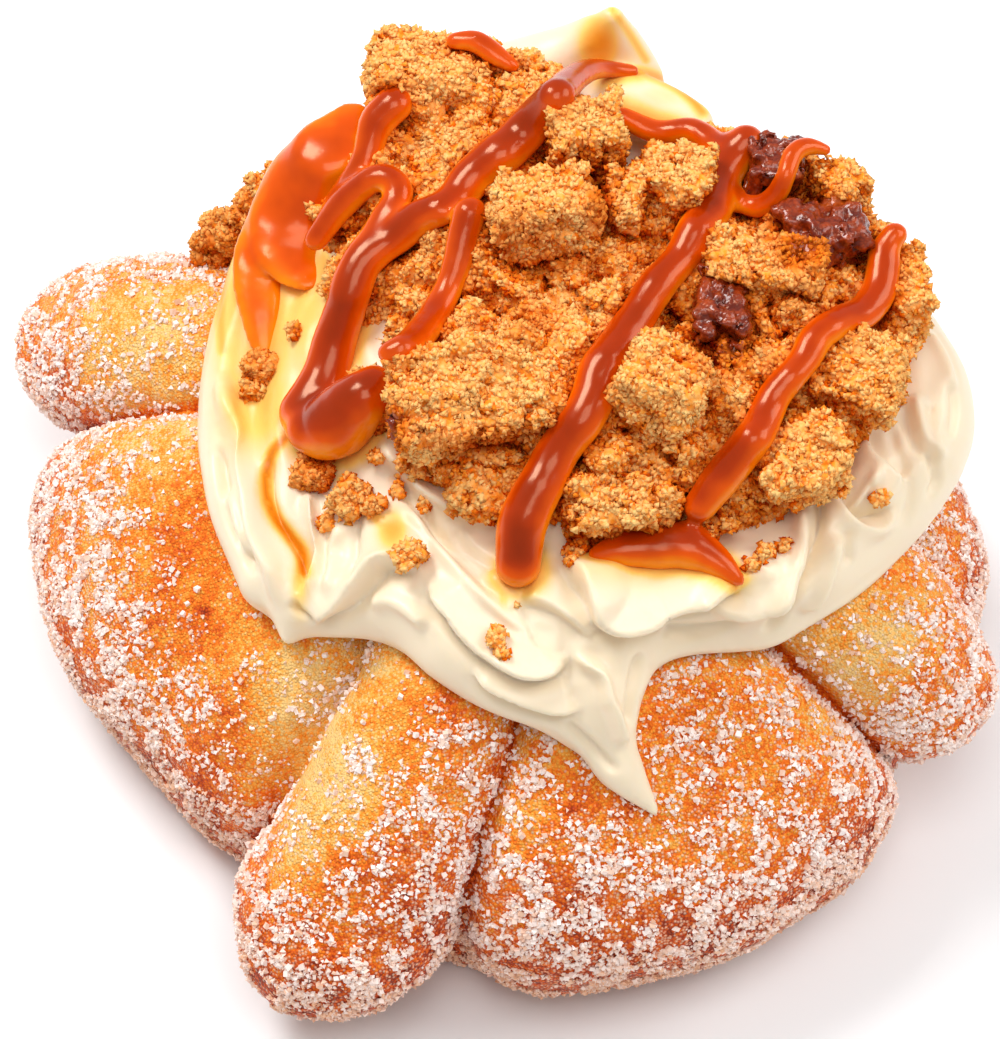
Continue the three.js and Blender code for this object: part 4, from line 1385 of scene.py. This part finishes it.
def make_grains(crumbs, solid):
    """Loose crumb grains that cover every crumb surface: thick ones, and finer bits."""
    rng = np.random.default_rng(12)
    spots, lights, syrups = [], [], []
    for (points, faces, bright, syrup) in crumbs:
        normals = normals_of(points, faces)
        places, facing, corner = scatter(points, faces, normals, GRAIN_SPREAD, rng)
        keep = (facing[:, 2] > GRAIN_LOWEST) & (syrup[corner] < SYRUP_BARE)
        spots.append(np.concatenate([places, facing], axis=1)[keep])
        lights.append(bright[corner][keep])
        syrups.append(syrup[corner][keep])
    spots, lights, syrups = np.concatenate(spots), np.concatenate(lights), np.concatenate(syrups)
    wanted = sum(count for _, _, count, _, _ in GRAIN_KINDS.values())
    chosen = rng.permutation(len(spots))[:2 * wanted]
    open_air = ~buried(spots[chosen, :3] + 0.25 * spots[chosen, 3:], spots[chosen, 3:], solid)
    chosen = chosen[open_air]
    for name, (form, form_faces, count, low, high) in GRAIN_KINDS.items():
        own, chosen = chosen[:count], chosen[count:]
        places, facing = spots[own, :3], spots[own, 3:]
        sizes = rng.uniform(low, high, (len(own), 1)) * rng.uniform(0.7, 1.15, (len(own), 3))
        lifted = places + facing * rng.uniform(-0.16, 0.24, (len(own), 1))
        points, faces = many(form, form_faces, lifted, sizes, rng, 0.3)
        shut = shelter(places + 0.5 * facing, facing, solid, rng)
        # Painted shade: darker where close crumb shuts off the sky.
        light = 0.52 + 0.42 * lights[own] + rng.uniform(-0.14, 0.18, len(own)) - 0.78 * shut
        make_piece(name, points, faces, CRUMB, "crumb",
                   grain=np.repeat(light, len(form)), syrup=np.repeat(syrups[own], len(form)))


# ---------------------------------------------------------------- caramel

CARAMEL_CELL = 0.42
CARAMEL_STEP = 6  # photo pixels
BRIDGE_ROUNDS = 70
LIFT_SHARE = 0.48  # how far a rope's middle lies above what carries it, as a share of its half width
# Each sauce piece: its flatness, and for each rope in it the node, the route in photo pixels and
# the width along it in millimetres.
SAUCES = {
    "sauce_sheet": (0.25, [
        ("caramel_left_sheet", [(352, 117), (322, 158), (298, 196), (286, 235), (292, 262), (306, 274)],
         (5, 8.6, 10, 10, 8.4, 5)),
        ("caramel_left_sheet", [(300, 180), (268, 232), (258, 270), (260, 305), (263, 342)],
         (5, 6.6, 6.6, 5.6, 3.6)),
    ]),
    "sauce_left": (0.78, [
        ("caramel_left_knob", [(394, 104), (376, 124), (366, 158), (350, 182), (332, 204)],
         (4.6, 4.2, 3.4, 3, 2.2)),
        ("caramel_left_loop", [(316, 240), (344, 203), (379, 177), (399, 193), (379, 226), (362, 262)],
         (3.0, 3.4, 3.6, 3.4, 3.2, 3.2)),
        ("caramel_long_left", [(633, 71), (586, 71), (551, 101), (515, 142), (477, 172), (451, 203),
          (421, 217), (397, 236), (362, 262), (345, 310), (335, 340), (325, 377), (306, 413)],
         (1.8, 3.0, 4.2, 5, 5.2, 5, 4.4, 4.2, 4.6, 4.8, 5, 5.6, 6.4)),
        ("caramel_left_pool", [(312, 430), (330, 430), (352, 408), (374, 384)],
         (6.2, 8.2, 7.5, 4.6)),
        ("caramel_branch", [(470, 212), (463, 236), (455, 270), (440, 305), (415, 340), (390, 353)],
         (3.8, 3.6, 3.4, 3.6, 3.8, 3)),
    ]),
    "sauce_main": (0.8, [
        ("caramel_main", [(746, 141), (733, 157), (720, 177), (713, 207), (697, 229), (682, 257),
          (656, 287), (629, 330), (601, 370), (594, 395), (580, 423), (558, 451), (544, 479), (530, 505),
          (521, 530), (518, 566)],
         (4.2, 5, 4.8, 4.4, 4.2, 4.4, 4.6, 4.8, 5, 5, 5, 5, 5, 5.2, 5.6, 5.2)),
        ("caramel_top_link", [(622, 116), (656, 132), (691, 130), (713, 143), (728, 152)],
         (2.6, 3.2, 3.2, 3.4, 3.4)),
        ("caramel_small_loop", [(738, 200), (757, 207), (775, 196), (786, 175), (793, 154), (807, 146),
          (826, 150)],
         (2.6, 2.8, 2.6, 2.4, 2.4, 2.4, 1.6)),
    ]),
    "sauce_right": (0.75, [
        ("caramel_right", [(895, 234), (885, 250), (883, 270), (878, 293), (862, 313), (841, 321),
          (817, 337), (803, 362), (775, 395), (758, 431), (735, 461), (716, 485), (700, 506)],
         (3.2, 3.8, 4.2, 4.2, 4, 3.8, 3.8, 3.8, 4, 4.2, 4.4, 4.6, 3.8)),
        ("caramel_pool", [(598, 554), (625, 548), (655, 546), (685, 545), (715, 560), (738, 580)],
         (2.4, 4.6, 5.6, 5.6, 3.8, 1.8)),
    ]),
    "sauce_back": (0.75, [
        ("caramel_back", [(455, 41), (475, 41), (493, 53), (512, 66)],
         (2.4, 3, 3, 2)),
    ]),
}


def drape(route, ground, width, flat):
    """A rope's middle points, laid on the ground as seen by the camera and bridging its dips,
    with its half widths."""
    pixels = spline(route, 12)
    steps = np.concatenate([[0], np.cumsum(np.linalg.norm(np.diff(pixels, axis=0), axis=1))])
    even = np.linspace(0, steps[-1], max(int(steps[-1] / CARAMEL_STEP), 4))
    pixels = np.stack([np.interp(even, steps, pixels[:, axis]) for axis in range(2)], axis=1)
    lines = np.array([sight(pixel) for pixel in pixels])
    found = [ground.ray_cast(Vector(EYE), Vector(line))[3] for line in lines]
    hits = np.array([reach is not None for reach in found])
    reach = np.interp(even, even[hits], np.array([depth for depth in found if depth is not None]))
    taut = reach.copy()
    for _ in range(BRIDGE_ROUNDS):
        padded = np.concatenate([taut[:1], taut, taut[-1:]])
        taut = np.minimum((padded[:-2] + 2 * taut + padded[2:]) / 4, reach)
    half = spread(width, len(even)) / 2
    return EYE + lines * (taut - LIFT_SHARE * flat * half)[:, None], half


def make_caramel(ground):
    """Every rope of caramel. Returns their surfaces, and the middle points and half widths."""
    stations, halves, surfaces = [], [], []
    for index, (name, (flat, ropes)) in enumerate(SAUCES.items()):
        draped = [drape(route, ground, width, flat) for _, route, width in ropes]
        line = np.concatenate([path for path, _ in draped])
        half = np.concatenate([wide for _, wide in draped])
        margin = half.max() + 2
        field = Field(line.min(axis=0) - margin, line.max(axis=0) + margin, CARAMEL_CELL)
        for path, wide in draped:
            dense = np.linspace(0, len(path) - 1, 3 * len(path))
            at = np.arange(len(path))
            path = np.stack([np.interp(dense, at, path[:, axis]) for axis in range(3)], axis=1)
            wobble = 1 + 0.12 * fbm(path, 5, 2, 200 + index)
            field.roll(path, np.interp(dense, at, wide) * wobble, 1.4, flat)
        points, faces = field.surface()
        points = relax(points, faces, 5)
        thick = np.zeros(len(points))
        for path, wide in draped:
            gap, _, _, along = nearest_on(path[:, :2], points[:, :2])
            local = at_share(along, wide)
            round_share = np.clip(1 - (gap / (local * 1.02)) ** 2, 0, 1)
            thick = np.maximum(thick, round_share * np.minimum((0.34 + 0.25 * local) * flat, 0.8))
        nodes = sorted({node_name for node_name, _, _ in ropes})
        thick = blur(thick, faces, 3)
        piece = make_piece(name, points, faces, CARAMEL, "caramel", nodes, thick=thick)
        surfaces.append((piece, points, faces))
        stations.append(line)
        halves.append(half)
    return surfaces, np.concatenate(stations), np.concatenate(halves)


def sauce_gap(points, stations, halves):
    """How far each point is from the nearest rope's edge."""
    tree = KDTree(len(stations))
    for index, station in enumerate(stations):
        tree.insert(station, index)
    tree.balance()
    gap = np.empty(len(points))
    for index, point in enumerate(points):
        _, nearest, distance = tree.find(point)
        gap[index] = distance - halves[nearest]
    return gap


# ---------------------------------------------------------------- sugar

SUGAR_SPREAD = 13.0  # tries for each square millimetre of crust
# Each kind of sugar: its form, how many there are and its least and greatest size.
SUGAR_KINDS = {
    "sugar_crystals": (CUBE, CUBE_FACES, 15000, 0.32, 0.62),
    "sugar_splinters": (OCTAHEDRON, OCTAHEDRON_FACES, 21000, 0.38, 0.7),
    "sugar_shards": (TETRAHEDRON, TETRAHEDRON_FACES, 44000, 0.3, 0.56),
}


def make_sugar(bread, dustings, solid):
    """Sugar stuck to the crust in drifts: blocky crystals, splinters and small shards."""
    rng = np.random.default_rng(11)
    found = []
    for (_, points, faces), dusting in zip(bread, dustings):
        places, facing, corner = scatter(points, faces, normals_of(points, faces), SUGAR_SPREAD, rng)
        clump = fbm(places, 2.6, 2, 33)
        chance = dusting[corner] ** 1.3 * (0.42 + 1.9 * clump)
        keep = rng.random(len(places)) < chance
        found.append(np.concatenate([places, facing], axis=1)[keep])
    found = np.concatenate(found)
    found = found[~buried(found[:, :3] + 0.2 * found[:, 3:], found[:, 3:], solid)]
    found = rng.permutation(found)
    for name, (form, form_faces, count, low, high) in SUGAR_KINDS.items():
        chosen, found = found[:count], found[count:]
        sizes = rng.uniform(low, high, (len(chosen), 1)) * rng.uniform(0.65, 1.15, (len(chosen), 3))
        lift = sizes.mean(axis=1) * rng.uniform(0.0, 0.45, len(chosen))
        places = chosen[:, :3] + chosen[:, 3:] * lift[:, None]
        points, faces = many(form, form_faces, places, sizes, rng)
        # Crystals low on the sides are painted warmer and darker, as shade.
        low_down = 0.6 * ramp(-chosen[:, 2], -24, -4)
        tint = np.repeat(np.minimum(rng.random(len(chosen)) ** 2 * 0.85 + low_down, 1), len(form))
        make_piece(name, points, faces, SUGAR, "crust", smooth=False, tint=tint)


# ---------------------------------------------------------------- the whole bread

# Golden stains on the cream: middle and reach in photo pixels, and how deep they are.
STAINS = [
    ((256, 330), (44, 90), 0.5), ((258, 400), (42, 56), 0.42), ((300, 300), (40, 90), 0.36),
    ((392, 530), (15, 20), 0.55), ((598, 44), (20, 30), 0.66), ((664, 96), (24, 12), 0.16),
    ((300, 585), (9, 32), 0.34), ((504, 592), (7, 15), 0.42), ((640, 560), (70, 26), 0.22),
]
# Thin trickles of syrup on the cream: the route and reach in photo pixels, and how deep they are.
TRICKLES = [
    ([(286, 437), (273, 451), (267, 470), (266, 488), (269, 503), (277, 520), (290, 536), (301, 551),
      (304, 572)], 7, 0.85),
    ([(628, 70), (652, 75), (674, 85), (691, 98), (702, 112)], 7, 0.66),
    ([(612, 10), (623, 24), (635, 42), (646, 60)], 5, 0.5),
    ([(247, 200), (233, 240), (225, 280), (221, 318), (223, 350)], 8, 0.56),
    ([(735, 566), (738, 578), (735, 588)], 6, 0.7),
    ([(342, 480), (352, 492), (372, 512), (390, 534)], 7, 0.5),
]


def stain_of(points, gap):
    """How golden the cream is: round the ropes, in the stains and down the trickles."""
    pixels = pixels_of(points)
    stain = 0.5 * np.exp(-((np.maximum(gap, 0) / 1.3) ** 2))
    for middle, reach, depth in STAINS:
        stain = np.maximum(stain, depth * patch(pixels, middle, reach))
    for route, reach, depth in TRICKLES:
        distance = nearest_on(spline(route, 4), pixels)[0]
        stain = np.maximum(stain, depth * np.exp(-((distance / reach) ** 2)))
    return stain


def joined(surfaces):
    """The points and faces of several surfaces as one."""
    starts = np.cumsum([0] + [len(points) for points, _ in surfaces])
    faces = [faces + start for (_, faces), start in zip(surfaces, starts)]
    return np.concatenate([points for points, _ in surfaces]), np.concatenate(faces)


def make_everything():
    bread, dustings = make_bread()
    bread_surfaces = [surface for _, *surface in bread]
    cream = make_cream(tree_of(*joined(bread_surfaces)))
    cores = {"crumble_heap": make_heap()}
    for index, name in enumerate(CHUNKS):
        cores[name] = make_chunk(name, 300 + index)
    loose_points, loose_faces, loose_syrup = make_loose(tree_of(*cream))
    sauces, stations, halves = make_caramel(tree_of(*joined([cream, *cores.values()])))

    swirl = make_piece("cream_swirl", *cream, CREAM, "cream", ["cream"],
                       stain=stain_of(cream[0], sauce_gap(cream[0], stations, halves)))
    shells = [*bread, (swirl, *cream), *sauces]
    crumbs = []
    for index, (name, (points, faces)) in enumerate(cores.items()):
        points, bright = grainy(points, faces, 400 + index)
        syrup = soaked(points, sauce_gap(points, stations, halves))
        if "glazed" in name:
            syrup = np.maximum(syrup, 0.92 + 0.4 * fbm(points, 4.0, 2, 620))
        finish, slot = (GLAZED, "glazed_crumb") if "glazed" in name else (CRUMB, "crumb")
        piece = make_piece(name.replace("crumble", "crumb"), points, faces, finish, slot, [name],
                           grain=bright, syrup=syrup)
        shells.append((piece, points, faces))
        crumbs.append((points, faces, bright, syrup))
    points, bright = grainy(loose_points, loose_faces, 450)
    piece = make_piece("crumb_loose", points, loose_faces, CRUMB, "crumb", grain=bright, syrup=loose_syrup)
    shells.append((piece, points, loose_faces))
    crumbs.append((points, loose_faces, bright, loose_syrup))
    solid = tree_of(*joined([surface for _, *surface in shells]))
    make_grains(crumbs, solid)
    make_sugar(bread, dustings, solid)
    for piece, points, faces in shells:
        thin(piece, points, faces, solid)


# ---------------------------------------------------------------- floor and light

FLOOR_SIZE = 4
FLOOR_COLOUR = (0.92, 0.92, 0.93, 1)
WORLD_COLOUR = (1, 0.99, 0.98, 1)
WORLD_STRENGTH = 0.44
AIM = (0, 0, 0.03)
# Each lamp's place and size in metres, and its power in watts. All of them face the bread.
LAMPS = {
    "key": ((-0.42, 0.34, 0.8), 0.36, 6.1),
    "fill": ((0.66, 0.12, 0.66), 0.5, 3.2),
    "top": ((0.05, -0.25, 1.05), 0.5, 3.3),
}


def make_stage():
    scene = bpy.context.scene
    scene.view_settings.view_transform = "Standard"
    bpy.ops.mesh.primitive_plane_add(size=FLOOR_SIZE, location=(0, 0, 0))
    floor = bpy.context.object
    floor.name = "floor"
    material, _, shader = new_material("floor", Roughness=0.7)
    shader.inputs["Base Color"].default_value = FLOOR_COLOUR
    floor.data.materials.append(material)
    world = bpy.data.worlds.new("studio")
    world.use_nodes = True
    sky = world.node_tree.nodes["Background"]
    sky.inputs["Color"].default_value = WORLD_COLOUR
    sky.inputs["Strength"].default_value = WORLD_STRENGTH
    scene.world = world
    for name, (place, size, power) in LAMPS.items():
        data = bpy.data.lights.new(name, "AREA")
        data.size = size
        data.energy = power
        lamp = bpy.data.objects.new(name, data)
        lamp.location = place
        lamp.rotation_euler = (Vector(AIM) - lamp.location).to_track_quat("-Z", "Y").to_euler()
        scene.collection.objects.link(lamp)


make_camera()
make_stage()
make_everything()
